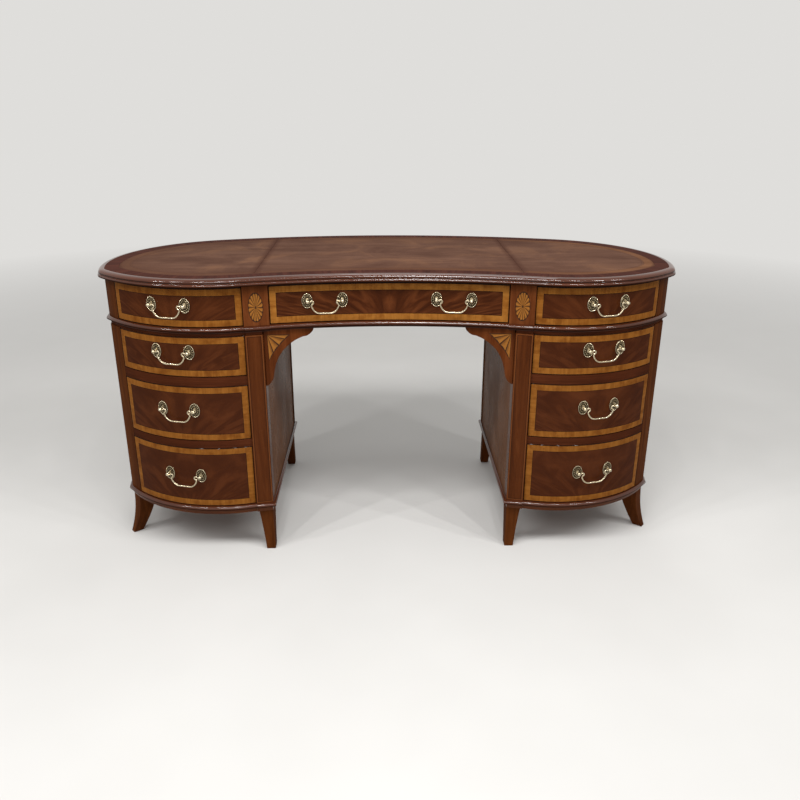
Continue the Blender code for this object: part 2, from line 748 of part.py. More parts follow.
def stand_out(obj, foot_point, outward, level):
    """Puts a tool on a drawer face with its Z along the outward direction."""
    side = Vector((-outward.y, outward.x, 0.0))
    axes = Matrix((side, Vector((0.0, 0.0, 1.0)), Vector((outward.x, outward.y, 0.0)))).transposed()
    obj.matrix_world = Matrix.Translation((foot_point.x, foot_point.y, level)) @ axes.to_4x4()


def handle_places(centre, radius, turn):
    """Feet and outward directions of a handle's two posts on a bowed face."""
    half = math.asin(BORING / 2 / radius)
    places = []
    for angle in (turn - half, turn + half):
        outward = Vector((math.sin(angle), -math.cos(angle)))
        places.append((centre + outward * radius, outward))
    return places


def concave_places(x):
    """Feet and outward directions of a handle's two posts on the concave face."""
    turn, half = math.asin(x / CENTRE_R), math.asin(BORING / 2 / CENTRE_R)
    places = []
    for angle in (turn - half, turn + half):
        inward = Vector((math.sin(angle), math.cos(angle)))
        places.append((Vector((0.0, CENTRE_Y)) + inward * CENTRE_R, -inward))
    return places


def add_posts(front, name, places, level):
    """Joins both plates and both posts to a drawer front."""
    for number, (foot_point, outward) in enumerate(places, 1):
        for make, label in ((oval_plate, "plate"), (ball_post, "post")):
            tool = make(f"{name}_{label}_{number}_tool")
            stand_out(tool, foot_point, outward, level)
            join(front, tool)


def bail_curve():
    """One bail, hanging in its own XZ plane from an axis along X."""
    curve = bpy.data.curves.new("bail", "CURVE")
    curve.dimensions = "3D"
    curve.bevel_depth = BAIL_R
    curve.bevel_resolution = 2
    curve.use_fill_caps = True
    return curve


def shape_bail(curve, span):
    """Gives a bail its swan-neck line between two balls span apart."""
    half = span / 2 - BALL_R - SEAT
    right = [(half * x, -BAIL_DROP * z) for x, z in BAIL_SHAPE_SHARES]
    line = right + [(-x, z) for x, z in reversed(right[:-1])]
    spline = curve.splines.new("POLY")
    spline.points.add(len(line) - 1)
    for point, (x, z) in zip(spline.points, line):
        point.co = (x, 0.0, z, 1.0)
    curve.materials.append(finish("bail", *BRASS))


def hang_bail(name, places, level, mirror):
    """A bail on the line between two balls, and the line's middle and direction."""
    (a, a_out), (b, b_out) = places
    first, last = a + a_out * BALL_REACH, b + b_out * BALL_REACH
    first.x, last.x = first.x * mirror, last.x * mirror
    if mirror < 0:
        first, last = last, first
    curve = bail_curve()
    curve.name = name
    shape_bail(curve, (last - first).length)
    curve.materials[0].name = name
    obj = place(bpy.data.objects.new(name, curve))
    middle = (first + last) / 2
    obj.location = (middle.x, middle.y, level)
    obj.rotation_euler.z = math.atan2(last.y - first.y, last.x - first.x)
    return obj


def drawer_box(name, first, last, low, opening, end_y, symmetric=False):
    """Sides, back and bottom of a drawer: a block with its inside cut out to the front."""
    high = low + opening - BOX_HEADROOM
    front = face_line(max(first, 0.0), last, -FRONT_T - SEAT)
    if symmetric:
        front = [(-x, y) for x, y in reversed(front[1:])] + front
    plan = front + [(last, end_y), (first, end_y)]
    box = board(name, plan, low + SEAT, high, OAK_LINING)
    hollow = block(
        name + "_tool", (first + BOX_SIDE_T, -DEPTH, low + SEAT + BOX_BOTTOM_T),
        (last - BOX_SIDE_T, end_y - BOX_SIDE_T, high + OVERRUN), OAK_LINING, CUTTERS)
    join(box, hollow, "DIFFERENCE")
    return box


def drawer_front(name, line, back_line_points, low, opening):
    plan = line + back_line_points[::-1]
    return board(name, plan, low + FRONT_GAP, low + opening - FRONT_GAP, MAHOGANY)


def side_drawer(name, low, opening):
    """A bow-fronted drawer of the right lobe and its left-hand twin."""
    first, last = POST_OUT_X + FRONT_GAP, DRAWER_OUT_X - FRONT_GAP
    faces = face_line(first, last, 0.0), face_line(first, last, -FRONT_T)
    front = drawer_front(f"drawer_right_{name}_front", *faces, low, opening)
    box = drawer_box(
        f"drawer_right_{name}_box", POST_OUT_X + BOX_CLEAR, BOX_OUT_X,
        low, opening, SIDE_BOX_END_Y)
    level = low + opening * HANDLE_HEIGHT_SHARE[name]
    places = handle_places(Vector((LOBE_X, LOBE_Y)), LOBE_R, LOBE_HANDLE_TURN)
    add_posts(front, f"handle_{name}", places, level)
    left_of(front, f"drawer_left_{name}_front")
    left_of(box, f"drawer_left_{name}_box")
    hang_bail(f"bail_right_{name}", places, level, 1)
    hang_bail(f"bail_left_{name}", places, level, -1)


def centre_drawer(low, opening):
    """The long concave drawer over the kneehole, with two handles."""
    last = POST_IN_X - FRONT_GAP
    outer, inner = face_line(0.0, last, 0.0), face_line(0.0, last, -FRONT_T)
    lines = [[(-x, y) for x, y in reversed(line[1:])] + line for line in (outer, inner)]
    front = drawer_front("drawer_centre_front", *lines, low, opening)
    reach = POST_IN_X - BOX_CLEAR
    drawer_box("drawer_centre_box", -reach, reach, low, opening, CENTRE_BOX_END_Y, symmetric=True)
    level = low + opening * HANDLE_HEIGHT_SHARE["frieze"]
    for side, label in ((-1, "left"), (1, "right")):
        places = concave_places(side * CENTRE_HANDLE_X)
        add_posts(front, f"handle_centre_{label}", places, level)
        hang_bail(f"bail_centre_{label}", places, level, 1)


def soften():
    """Smooth shading between facets that are nearly level, on the pieces with no Boolean."""
    for piece in DESK.objects:
        if piece.type == "MESH" and not piece.modifiers:
            piece.data.shade_smooth()
            piece.data.set_sharp_from_angle(angle=SHARP_TURN)


top_board()
leather_panels()
frieze_deck()
frieze_shell()
frieze_dividers()
pedestal_base()
pedestal_walls()
dust_board(LOWER_TOP, LOWER_RAIL, "lower_dust_board")
dust_board(MIDDLE_TOP, UPPER_RAIL, "upper_dust_board")
bracket()
feet()
centre_drawer(DECK_TOP, FRIEZE_OPENING)
side_drawer("frieze", DECK_TOP, FRIEZE_OPENING)
side_drawer("upper", UPPER_LOW, UPPER_OPENING)
side_drawer("middle", MIDDLE_LOW, MIDDLE_OPENING)
side_drawer("lower", BASE_TOP, LOWER_OPENING)
soften()
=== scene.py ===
"""A kidney shaped desk in inlaid mahogany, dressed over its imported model.

Metres, +Z up, front along -Y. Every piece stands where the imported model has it.
"""

from math import acos, asin, atan2, copysign, cos, pi, radians, sin, sqrt, tan, tau

import bmesh
import bpy
from mathutils import Matrix, Vector
from mathutils.geometry import intersect_sphere_sphere_2d


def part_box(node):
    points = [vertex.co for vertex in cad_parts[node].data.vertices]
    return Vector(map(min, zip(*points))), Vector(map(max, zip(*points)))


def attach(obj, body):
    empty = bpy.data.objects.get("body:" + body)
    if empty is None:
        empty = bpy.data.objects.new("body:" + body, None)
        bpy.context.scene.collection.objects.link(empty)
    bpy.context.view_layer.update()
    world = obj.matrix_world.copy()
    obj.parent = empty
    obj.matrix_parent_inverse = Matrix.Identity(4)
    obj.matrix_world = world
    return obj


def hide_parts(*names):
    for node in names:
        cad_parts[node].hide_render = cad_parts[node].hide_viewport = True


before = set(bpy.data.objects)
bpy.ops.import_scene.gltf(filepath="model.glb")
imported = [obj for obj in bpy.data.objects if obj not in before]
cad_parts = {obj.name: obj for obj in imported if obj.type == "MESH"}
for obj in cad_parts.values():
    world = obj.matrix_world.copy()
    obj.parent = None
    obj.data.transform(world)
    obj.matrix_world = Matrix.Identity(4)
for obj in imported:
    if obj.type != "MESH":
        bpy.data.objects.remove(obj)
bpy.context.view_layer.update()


# Frieze bottom board: one mahogany board sawn to the kidney, with a half-round bead worked along
# its edge that steps forward at the two posts. A dark rail is planted under it over each pedestal,
# and the whole is polished long-grain mahogany.
WIDTH, DEPTH, OVERHANG = 1.53, 0.672, 0.023
LOBE_R, LOBE_INSET = 0.341, 0.301
CENTRE_RECESS = 0.063
BACK_RISE, SIDE_AHEAD = 0.065, 0.105
REVEAL = 0.0125
CANT = Vector((0.0226, 0.0262))
POST_PROUD = 0.004
SEAT = 0.0003
RAIL_SET, APRON_SET = 0.001, 0.002
BEAD_H, BEAD_REACH, BEAD_STEPS = 0.013, 0.008, 12
FRONT_STEPS, LOBE_STEPS, SIDE_STEPS, BACK_STEPS = 30, 44, 40, 36
SHARP = radians(38.0)
SIDES = (("right", 1), ("left", -1))
FINE, WIDE = (0.3, 0.5, 0.72), (0.28, 0.5, 0.74)

KNEE_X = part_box("pedestal_right_kneehole_panel")[0].x
POST_IN_X, POST_OUT_X = (corner.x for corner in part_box("frieze_divider_right"))
DRAWER_OUT_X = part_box("pedestal_right_outer_pilaster")[0].x
CORNER_X = DRAWER_OUT_X + REVEAL
LOBE = Vector((WIDTH / 2 - LOBE_INSET, LOBE_R + OVERHANG - DEPTH / 2))
CENTRE_FACE_Y = OVERHANG + CENTRE_RECESS - DEPTH / 2
CENTRE_R = (LOBE.x**2 + CENTRE_RECESS**2) / (2 * CENTRE_RECESS) - LOBE_R
CENTRE = Vector((0.0, CENTRE_FACE_Y - CENTRE_R))
TANGENT_X = CENTRE_R * LOBE.x / (CENTRE_R + LOBE_R)
BACK_FACE_Y = DEPTH / 2 - OVERHANG
DECK_LOW, DECK_TOP = (corner.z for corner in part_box("frieze_deck"))
KNEE_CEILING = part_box("bracket_right")[1].z + SEAT
FRIEZE_LOW, FRIEZE_TOP = (corner.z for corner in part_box("frieze_shell"))


def steps(first, last, count):
    return [first + (last - first) * i / count for i in range(count + 1)]


def whole_turn(count):
    return steps(0.0, tau, count)[:-1]


def mix(a, b, share):
    return a + (b - a) * share


def facing(turn):
    return Vector((cos(turn), sin(turn)))


def mirrored(points):
    return [Vector((-point.x, point.y)) for point in points]


class Rear:
    """The plan's arcs round each side and behind."""

    def __init__(self, ahead):
        self.side_r = BACK_FACE_Y + ahead - BACK_RISE
        self.side = Vector((WIDTH / 2 - OVERHANG - self.side_r, -ahead))
        back_y = ((BACK_FACE_Y - self.side_r) ** 2 - self.side.length_squared) / (2 * BACK_RISE)
        self.back = Vector((0.0, back_y))
        self.back_r = BACK_FACE_Y - back_y
        self.turn = atan2(*(self.side - self.back))


CARCASE = Rear(SIDE_AHEAD)


def front_point(x, out):
    """The front line's point at x, moved out square to the line."""
    if x < TANGENT_X:
        return CENTRE + facing(acos(x / CENTRE_R)) * (CENTRE_R - out)
    return LOBE + facing(-acos((x - LOBE.x) / LOBE_R)) * (LOBE_R + out)


def curve_y(x, out):
    """Y of the offset front line straight above x."""
    if x < LOBE.x * (1.0 - (LOBE_R + out) / (CENTRE_R + LOBE_R)):
        return CENTRE.y + sqrt((CENTRE_R - out) ** 2 - x**2)
    return LOBE.y - sqrt((LOBE_R + out) ** 2 - (x - LOBE.x) ** 2)


CORNER = front_point(CORNER_X, 0.0)
SIDE_TURN = asin((CORNER.y + CANT.y - CARCASE.side.y) / CARCASE.side_r)


def side_line(out, first=SIDE_TURN, rear=CARCASE):
    turns = steps(first, pi / 2 - rear.turn, SIDE_STEPS)[1:-1]
    return [rear.side + facing(turn) * (rear.side_r + out) for turn in turns]


def back_line(out, last_x=0.0, rear=CARCASE):
    """The back from the side arc to the place last_x."""
    turns = steps(rear.turn, asin(last_x / rear.back_r), BACK_STEPS)
    return [rear.back + facing(pi / 2 - turn) * (rear.back_r + out) for turn in turns]


def cant_points(out):
    """The two ends of the canted corner, with a mitre at the rear one."""
    last = CORNER + CANT
    square = Vector((CANT.y, -CANT.x)).normalized()
    radial = facing(SIDE_TURN)
    mitre = (square + radial) / (1.0 + square.dot(radial))
    return [front_point(CORNER_X, out), last + mitre * out]


def whole_ring(half):
    return half + mirrored(reversed(half[1:-1]))


def lobe_line(out):
    return [front_point(x, out) for x in steps(POST_OUT_X, CORNER_X, LOBE_STEPS)[1:-1]]


def deck_ring(out):
    """The kidney of the frieze's bead, stepped round the posts."""
    proud = out + POST_PROUD
    half = [front_point(x, out) for x in steps(0.0, POST_IN_X, FRONT_STEPS)]
    half += [front_point(POST_IN_X, proud), front_point(POST_OUT_X, proud), front_point(POST_OUT_X, out)]
    return whole_ring(half + lobe_line(out) + cant_points(out) + side_line(out) + back_line(out))


def post_face_y(x, out):
    ends = [curve_y(edge, out) for edge in (POST_IN_X, POST_OUT_X)]
    return mix(*ends, (x - POST_IN_X) / (POST_OUT_X - POST_IN_X))


def pedestal_ring(out, post_x=POST_OUT_X):
    """The lobe of the right pedestal, stepped round its inner pilaster."""
    knee, proud = KNEE_X - out, out + POST_PROUD
    ring = [Vector((knee, post_face_y(KNEE_X, proud))), front_point(post_x, proud)]
    ring += [front_point(post_x, out)] + lobe_line(out) + cant_points(out) + side_line(out)
    back = back_line(out, KNEE_X)
    return ring + back[:-1] + [Vector((knee, back[-1].y))]


def half_round(ring, low, high):
    turns = steps(-pi / 2, pi / 2, BEAD_STEPS)
    return [(ring(BEAD_REACH * cos(turn)), mix(low, high, (1.0 + sin(turn)) / 2)) for turn in turns]


def join_loops(bm, loops):
    """Faces from each closed loop to the next."""
    for lower, upper in zip(loops, loops[1:]):
        for corners in zip(lower, lower[1:] + lower[:1], upper[1:] + upper[:1], upper):
            bm.faces.new(corners)


def runs_along(points):
    """How far each of a line of points lies from the first."""
    runs = [0.0]
    for a, b in zip(points, points[1:]):
        runs.append(runs[-1] + (b - a).length)
    return runs


def ringed(levels):
    """A closed body through level rings, with each point's run and rise along it for the grain."""
    bm = bmesh.new()
    run, rise = (bm.verts.layers.float.new(name) for name in ("run", "rise"))
    base = levels[0][0]
    *runs, whole = runs_along(base + base[:1])
    climbed, before, loops = 0.0, None, []
    for ring, z in levels:
        loop = [bm.verts.new((*point, z)) for point in ring]
        climbed += (loop[0].co - before).length if before else 0.0
        before = loop[0].co.copy()
        for vertex, length in zip(loop, runs):
            vertex[run] = min(length, whole - length)
            vertex[rise] = climbed
        loops.append(loop)
    join_loops(bm, loops)
    bm.faces.new(reversed(loops[0]))
    bm.faces.new(loops[-1])
    return bm


def slab(ring, low, high):
    return ringed([(ring, low), (ring, high)])


def stand(name, data):
    made = bpy.data.objects.new(name, data)
    bpy.context.scene.collection.objects.link(made)
    return made


def shaped(name, bm, finishes):
    """A thing in the scene, from its mesh and its finishes."""
    mesh = bpy.data.meshes.new(name)
    bm.to_mesh(mesh)
    bm.free()
    for finish in finishes:
        mesh.materials.append(finish)
    return stand(name, mesh)


def settle(name, bm, finishes, *nodes, body="carcase", mirror=1, slot="mahogany"):
    """A piece of the desk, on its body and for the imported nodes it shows."""
    if mirror < 0:
        bmesh.ops.scale(bm, vec=(-1.0, 1.0, 1.0), verts=bm.verts)
    bmesh.ops.recalc_face_normals(bm, faces=bm.faces)
    piece = shaped(name, bm, finishes)
    piece.data.shade_smooth()
    piece.data.set_sharp_from_angle(angle=SHARP)
    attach(piece, body)
    if nodes:
        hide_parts(*nodes)
    return piece


def settle_pair(name, bm, finishes, *nodes, arris=None):
    """Settles a piece on the right and its mirror image on the left."""
    for side, mirror in SIDES:
        of_side = [node.format(side) for node in nodes]
        piece = settle(f"{side}_{name}", bm.copy(), finishes, *of_side, mirror=mirror)
        if arris:
            soften_edges(piece, arris)
    bm.free()


def soften_edges(piece, width):
    arris = piece.modifiers.new("arris", "BEVEL")
    arris.width = width
    arris.segments = 2
    arris.limit_method = "ANGLE"
    arris.angle_limit = SHARP


def reckon(operation, swapped=False):
    """A step of arithmetic on readings."""
    def step(*terms):
        order = terms[::-1] if swapped else terms
        return terms[0].wiring.node("Math", inputs=dict(enumerate(order)), operation=operation)
    return step


class Reading:
    """A value among a shader's nodes, reckoned with like a number."""

    def __init__(self, wiring, socket):
        self.wiring, self.socket = wiring, socket

    __abs__, __add__, __sub__ = reckon("ABSOLUTE"), reckon("ADD"), reckon("SUBTRACT")
    __mul__, __truediv__, __rsub__ = reckon("MULTIPLY"), reckon("DIVIDE"), reckon("SUBTRACT", True)
    __gt__, __lt__, __pow__ = reckon("GREATER_THAN"), reckon("LESS_THAN"), reckon("POWER")
    lesser, greater, near = reckon("MINIMUM"), reckon("MAXIMUM"), reckon("COMPARE")
    root, eased_lesser = reckon("SQRT"), reckon("SMOOTH_MIN")

    def apart(self):
        split = self.wiring.node("SeparateXYZ", inputs={0: self})
        return [Reading(self.wiring, part) for part in split.socket.node.outputs]

    def stretched(self, *scale):
        return self.wiring.node("VectorMath", inputs={0: self, 1: scale}, operation="MULTIPLY")

    def noise(self, scale=1.0, detail=4.0, roughness=0.6, distortion=0.0):
        return self.wiring.node("TexNoise", inputs={
            "Vector": self, "Scale": scale, "Detail": detail, "Roughness": roughness,
            "Distortion": distortion})

    def span(self, low, high, first, last):
        return self.wiring.node("MapRange", inputs={0: self, 1: low, 2: high, 3: first, 4: last})

    def blend(self, first, second, kind="MIX"):
        """The first where this is nought and the second where it is one, for colours or places."""
        first, second = ((*hue, 1.0) if isinstance(hue, tuple) else hue for hue in (first, second))
        return self.wiring.node("Mix", 2, {0: self, 6: first, 7: second}, data_type="RGBA", blend_type=kind)

    def ramp(self, stops):
        """A colour for each value, through stops of (value, colour)."""
        made = self.wiring.node("ValToRGB", inputs={0: self})
        band = made.socket.node.color_ramp.elements
        band[0].position, band[1].position = stops[0][0], stops[-1][0]
        for place, _ in stops[1:-1]:
            band.new(place)
        for element, (_, colour) in zip(band, stops):
            element.color = (*colour, 1.0)
        return made


class Wiring:
    """A shader's nodes, wired one at a time."""

    def __init__(self, tree):
        self.tree = tree

    def join(self, source, socket):
        if isinstance(source, Reading):
            self.tree.links.new(source.socket, socket)
        else:
            socket.default_value = source

    def node(self, kind, result=0, inputs=None, **settings):
        made = self.tree.nodes.new("ShaderNode" + kind)
        for key, setting in settings.items():
            setattr(made, key, setting)
        for key, source in (inputs or {}).items():
            self.join(source, made.inputs[key])
        return Reading(self, made.outputs[result])

    def attribute(self, name):
        return self.node("Attribute", "Fac", attribute_name=name)

    def place(self):
        return self.node("TexCoord", "Object")

    def together(self, *parts):
        return self.node("CombineXYZ", inputs=dict(enumerate(parts)))


class Finish(Wiring):
    """A surface's material, with settings of its polish by name."""

    def __init__(self, name, **polish):
        self.material = bpy.data.materials.new(name)
        self.material.use_nodes = True
        super().__init__(self.material.node_tree)
        self.shader = self.tree.nodes["Principled BSDF"]
        for setting, amount in polish.items():
            self.set(setting.replace("_", " ").title().replace("Ior", "IOR"), amount)

    def set(self, setting, source):
        self.join(source, self.shader.inputs[setting])

    def complete(self, colour, wear, first, last, relief=None, strength=0.25, depth=0.0002, between=(0.3, 0.7)):
        """Sets the colour, a roughness that goes from first to last with the wear, and any relief."""
        self.set("Base Color", colour)
        self.set("Roughness", wear.span(*between, first, last))
        if relief:
            bump = {"Height": relief, "Strength": strength, "Distance": depth}
            self.set("Normal", self.node("Bump", inputs=bump))
        return self.material


def upright(finish):
    """Grain that stands, as (along the fibres, across, through)."""
    x, y, z = finish.place().apart()
    return finish.together(z, x, y)


def running(finish):
    """Grain that follows a moulding round the desk."""
    return finish.together(finish.attribute("run"), finish.attribute("rise"), 0.0)


def crossing_grain(finish):
    """Grain square to a border's edge, as in crossbanding."""
    return finish.together(finish.attribute("rise"), finish.attribute("run"), 0.0)


def veneer(grain, shades, figure=45.0, places=FINE):
    """A wood's colour, its shades set at places among its stripes, and its pores for gloss and relief."""
    stripes = grain.stretched(2.6, figure, figure).noise(1.0, 5.0, 0.62, 0.9)
    pores = grain.stretched(34.0, 1100.0, 1100.0).noise(1.0, 2.0)
    return (pores * 0.28 + stripes * 0.72).ramp(list(zip(places, shades))), pores


def french_polish(name, gloss, shine=0.12, haze=0.07):
    """A thin amber polish over red wood: gloss is its clear coat, shine the wood's own."""
    return Finish(
        name, specular_ior_level=shine, specular_tint=(1.0, 0.6, 0.36, 1.0), coat_weight=gloss,
        coat_roughness=haze)


def mahogany(name, grain, shades, figure=45.0, relief=0.25, gloss=0.06, shine=0.0):
    """Polished mahogany, darker in cloudy patches."""
    finish = french_polish(name, gloss, shine)
    colour, pores = veneer(grain(finish), shades, figure)
    haze = finish.place().noise(7.0, 3.0)
    colour = haze.span(0.35, 0.75, 0.0, 0.45).blend(colour, shades[0])
    return finish.complete(colour, haze, 0.22, 0.36, pores, relief)


RED_MAHOGANY = ((0.046, 0.0105, 0.0025), (0.098, 0.025, 0.006), (0.165, 0.048, 0.013))
DARK_MAHOGANY = ((0.028, 0.0068, 0.0022), (0.066, 0.0165, 0.0055), (0.12, 0.033, 0.0115))
# Painted shade for the faces of a moulding that turn down.
PAINTED_UNDERSIDE_SHADE = (0.013, 0.004, 0.0018)


def moulding(name):
    """Dark mahogany, glossy facing up; facing down it is thinly coated and painted darker as shade."""
    finish = french_polish(name, 1.0, 0.0, 0.1)
    colour, pores = veneer(running(finish), DARK_MAHOGANY)
    upward = finish.node("NewGeometry", "Normal").apart()[2]
    # Faces that turn down are blended towards painted shade: the shadow under the nose and the beads.
    colour = upward.span(-0.4, 0.15, 0.8, 0.0).blend(colour, PAINTED_UNDERSIDE_SHADE)
    finish.set("Coat Weight", upward.span(-0.2, 0.25, 0.06, 1.0))
    return finish.complete(colour, pores, 0.24, 0.38, pores)


moulded_mahogany = moulding("moulded_mahogany")
rail_mahogany = mahogany("rail_mahogany", running, DARK_MAHOGANY, 60.0)

bead_low = DECK_TOP - BEAD_H
deck_levels = [(deck_ring(-RAIL_SET), level) for level in (KNEE_CEILING, bead_low - RAIL_SET)]
deck_levels += half_round(deck_ring, bead_low, DECK_TOP)
settle("frieze_bottom_board", ringed(deck_levels), [moulded_mahogany], "frieze_deck")

rail_ring = pedestal_ring(-APRON_SET, POST_OUT_X - APRON_SET)
settle_pair("pedestal_top_rail", slab(rail_ring, DECK_LOW, KNEE_CEILING + RAIL_SET), [rail_mahogany])


# Pedestal bases: a bottom board to each lobe with the same half-round bead, mitred at the kneehole,
# over a narrow straight apron in redder mahogany. Both carry the pedestal's weight to the feet.
BASE_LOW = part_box("pedestal_right_base")[0].z
PEDESTAL_LOW, PEDESTAL_TOP = (corner.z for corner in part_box("pedestal_right_inner_pilaster"))
BASE_TOP = PEDESTAL_LOW - SEAT

red_moulding = mahogany("red_moulding", running, RED_MAHOGANY, gloss=0.2, shine=0.12)

bead_low = BASE_TOP - BEAD_H
base_levels = [(pedestal_ring(-APRON_SET), level) for level in (BASE_LOW, bead_low - APRON_SET)]
base_levels += half_round(pedestal_ring, bead_low, BASE_TOP)
base = ringed(base_levels)
for face in base.faces:
    face.material_index = 1 if max(v.co.z for v in face.verts) < bead_low else 0
settle_pair("pedestal_bottom_board", base, [moulded_mahogany, red_moulding], "pedestal_{}_base")


# Feet: four square mahogany legs to a pedestal, tapered and kicked outwards, each corner sawn on its
# own curve. They are glued up under the apron: at the kneehole, at the cant and behind.
FOOT_H = BASE_LOW - SEAT
FOOT_DEPTH = 0.052
TOE_W, TOE_D, INNER_TOE_W = 0.018, 0.028, 0.024
OUTER_KICK, REAR_KICK = Vector((0.027, 0.0055)), 0.013
REAR_FOOT_TURN, REAR_FOOT_SET = radians(44.0), 0.004
FOOT_W = POST_OUT_X - KNEE_X
FOOT_STEPS, FOOT_ARRIS = 18, 0.0012
OUT_CURL, IN_CURL, SPLAY_CURL = 2.0, 0.75, 1.4

BROWN_MAHOGANY = ((0.038, 0.0092, 0.002), (0.08, 0.0218, 0.0045), (0.136, 0.041, 0.0095))
brown_mahogany = mahogany("brown_mahogany", upright, BROWN_MAHOGANY)


def leg(name, top, bottom, curls):
    """A leg on each side, with a curl to each corner."""
    levels = []
    for share in steps(1.0, 0.0, FOOT_STEPS):
        ring = [Vector(a).lerp(Vector(b), share**curl) for a, b, curl in zip(top, bottom, curls)]
        levels.append((ring, FOOT_H * (1.0 - share)))
    settle_pair(f"{name}_leg", ringed(levels), [brown_mahogany], f"foot_{{}}_{name}", arris=FOOT_ARRIS)


def leg_sections(middle, outward, width, toe, kick):
    along = Vector((-outward.y, outward.x))
    top, bottom = [], []
    for across, depth in ((-1, 0.0), (1, 0.0), (1, 1.0), (-1, 1.0)):
        top.append(middle + along * (across * width / 2) - outward * (depth * FOOT_DEPTH))
        bottom.append(middle + kick + along * (across * toe / 2) - outward * (depth * TOE_D))
    return top, bottom


def inner_section(width, front, depth):
    inside, outside = KNEE_X + APRON_SET, KNEE_X + APRON_SET + width
    return [(inside, front), (outside, front), (outside, front + depth), (inside, front + depth)]


inner_w = FOOT_W - 2 * APRON_SET
front = post_face_y(KNEE_X, POST_PROUD - APRON_SET)
leg("front_inner", inner_section(inner_w, front, FOOT_DEPTH), inner_section(INNER_TOE_W, front, TOE_D),
    (1.0, IN_CURL, IN_CURL, IN_CURL))

cant_first, cant_last = cant_points(-APRON_SET)
cant_out = Vector((CANT.y, -CANT.x)).normalized()
cant_middle, cant_width = (cant_first + cant_last) / 2, (cant_last - cant_first).length
leg("front_outer", *leg_sections(cant_middle, cant_out, cant_width, TOE_W, OUTER_KICK),
    (OUT_CURL, OUT_CURL, SPLAY_CURL, SPLAY_CURL))

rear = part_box("foot_right_rear_inner")[1].y - REAR_KICK
leg("rear_inner", inner_section(inner_w, rear - FOOT_DEPTH, FOOT_DEPTH),
    inner_section(INNER_TOE_W, rear + REAR_KICK - TOE_D, TOE_D), (IN_CURL, IN_CURL, OUT_CURL, OUT_CURL))

rear_out = facing(REAR_FOOT_TURN)
rear_middle = CARCASE.side + rear_out * (CARCASE.side_r - REAR_FOOT_SET)
leg("rear_outer", *leg_sections(rear_middle, rear_out, FOOT_W, INNER_TOE_W, rear_out * REAR_KICK),
    (OUT_CURL, OUT_CURL, IN_CURL, IN_CURL))


# Pedestal walls: a bent mahogany board round each side and back, a flat panel to the kneehole whose
# polish has gone dull, a canted corner pilaster, and an inner pilaster with fine stringing let in.
SHELL_T = 0.016
STRING_INSET, STRING_W, STRING_GLOW = 0.0052, 0.0011, 0.0024
PALE_STRING, DARK_STRING = (0.125, 0.038, 0.01), (0.016, 0.005, 0.002)
FACES_FRONT = -0.7
ARRIS = 0.0006

PILASTER_MAHOGANY = ((0.03, 0.0064, 0.0013), (0.065, 0.0155, 0.003), (0.11, 0.03, 0.007))
DULL_MAHOGANY = ((0.085, 0.032, 0.012), (0.125, 0.049, 0.018), (0.165, 0.068, 0.026))


def strung_pilaster():
    """Upright mahogany with a dark and a pale string let into the front face."""
    finish = french_polish("strung_pilaster", 0.07, 0.07)
    wood, pores = veneer(upright(finish), PILASTER_MAHOGANY)
    x, _, z = finish.place().apart()
    in_across = (POST_OUT_X - KNEE_X) / 2 - abs(abs(x) - (KNEE_X + POST_OUT_X) / 2)
    inset = in_across.lesser((PEDESTAL_TOP - PEDESTAL_LOW) / 2 - abs(z - (PEDESTAL_LOW + PEDESTAL_TOP) / 2))
    front = finish.node("NewGeometry", "Normal").apart()[1] < FACES_FRONT
    for middle, width, colour in (
            (STRING_INSET - STRING_GLOW, STRING_GLOW, PALE_STRING), (STRING_INSET, STRING_W, DARK_STRING)):
        wood = (inset.near(middle, width / 2) * front).blend(wood, colour)
    return finish.complete(wood, finish.place().noise(7.0), 0.22, 0.36, pores)


def dress(name, material, arris=ARRIS):
    """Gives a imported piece, or a pair for a name with {}, its finish and rubbed edges."""
    for node in {name.format(side) for side, _ in SIDES}:
        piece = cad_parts[node]
        for place in piece.material_slots:
            place.material = material
        soften_edges(piece, arris)


wall_end = facing(SIDE_TURN + SEAT / CARCASE.side_r)
outer, inner = (
    [CARCASE.side + wall_end * (CARCASE.side_r + out)] + side_line(out) + back_line(out, KNEE_X)
    for out in (0.0, -SHELL_T))
wall = slab(outer + inner[::-1], BASE_TOP + SEAT, PEDESTAL_TOP)
settle_pair("pedestal_wall", wall, [brown_mahogany], "pedestal_{}_shell")
dress("pedestal_{}_inner_pilaster", strung_pilaster())
dress("pedestal_{}_outer_pilaster", brown_mahogany)
panel_mahogany = mahogany("panel_mahogany", upright, DULL_MAHOGANY, 30.0, 0.02, gloss=0.0, shine=0.006)
dress("pedestal_{}_kneehole_panel", panel_mahogany)


# Dust boards: plain oak boards housed between the drawers, each with its drawer guides. A thin bowed
# facing of dark mahogany covers the front edge, so that it shows as the rail between two drawers.
FACING_SET, FACING_T, FACING_LAP = 0.0005, 0.0025, 0.0001
BOARD_ARRIS = 0.0003
FACES_ASIDE = 0.7

OAK = ((0.24, 0.135, 0.06), (0.4, 0.25, 0.12), (0.52, 0.35, 0.185))


def bare_wood(name, grain, shades, places=WIDE):
    """Wood left from the plane, with open grain and no polish."""
    finish = Finish(name)
    colour, pores = veneer(grain(finish), shades, 70.0, places)
    return finish.complete(colour, pores, 0.48, 0.66, pores, 0.5, 0.0004)


def along_each_board(finish):
    """Grain that runs from front to back in a box's sides, and from side to side elsewhere."""
    x, y, z = finish.place().apart()
    sideways = abs(finish.node("TexCoord", "Normal").apart()[0]) > FACES_ASIDE
    return sideways.blend(finish.place(), finish.together(y, x, z))


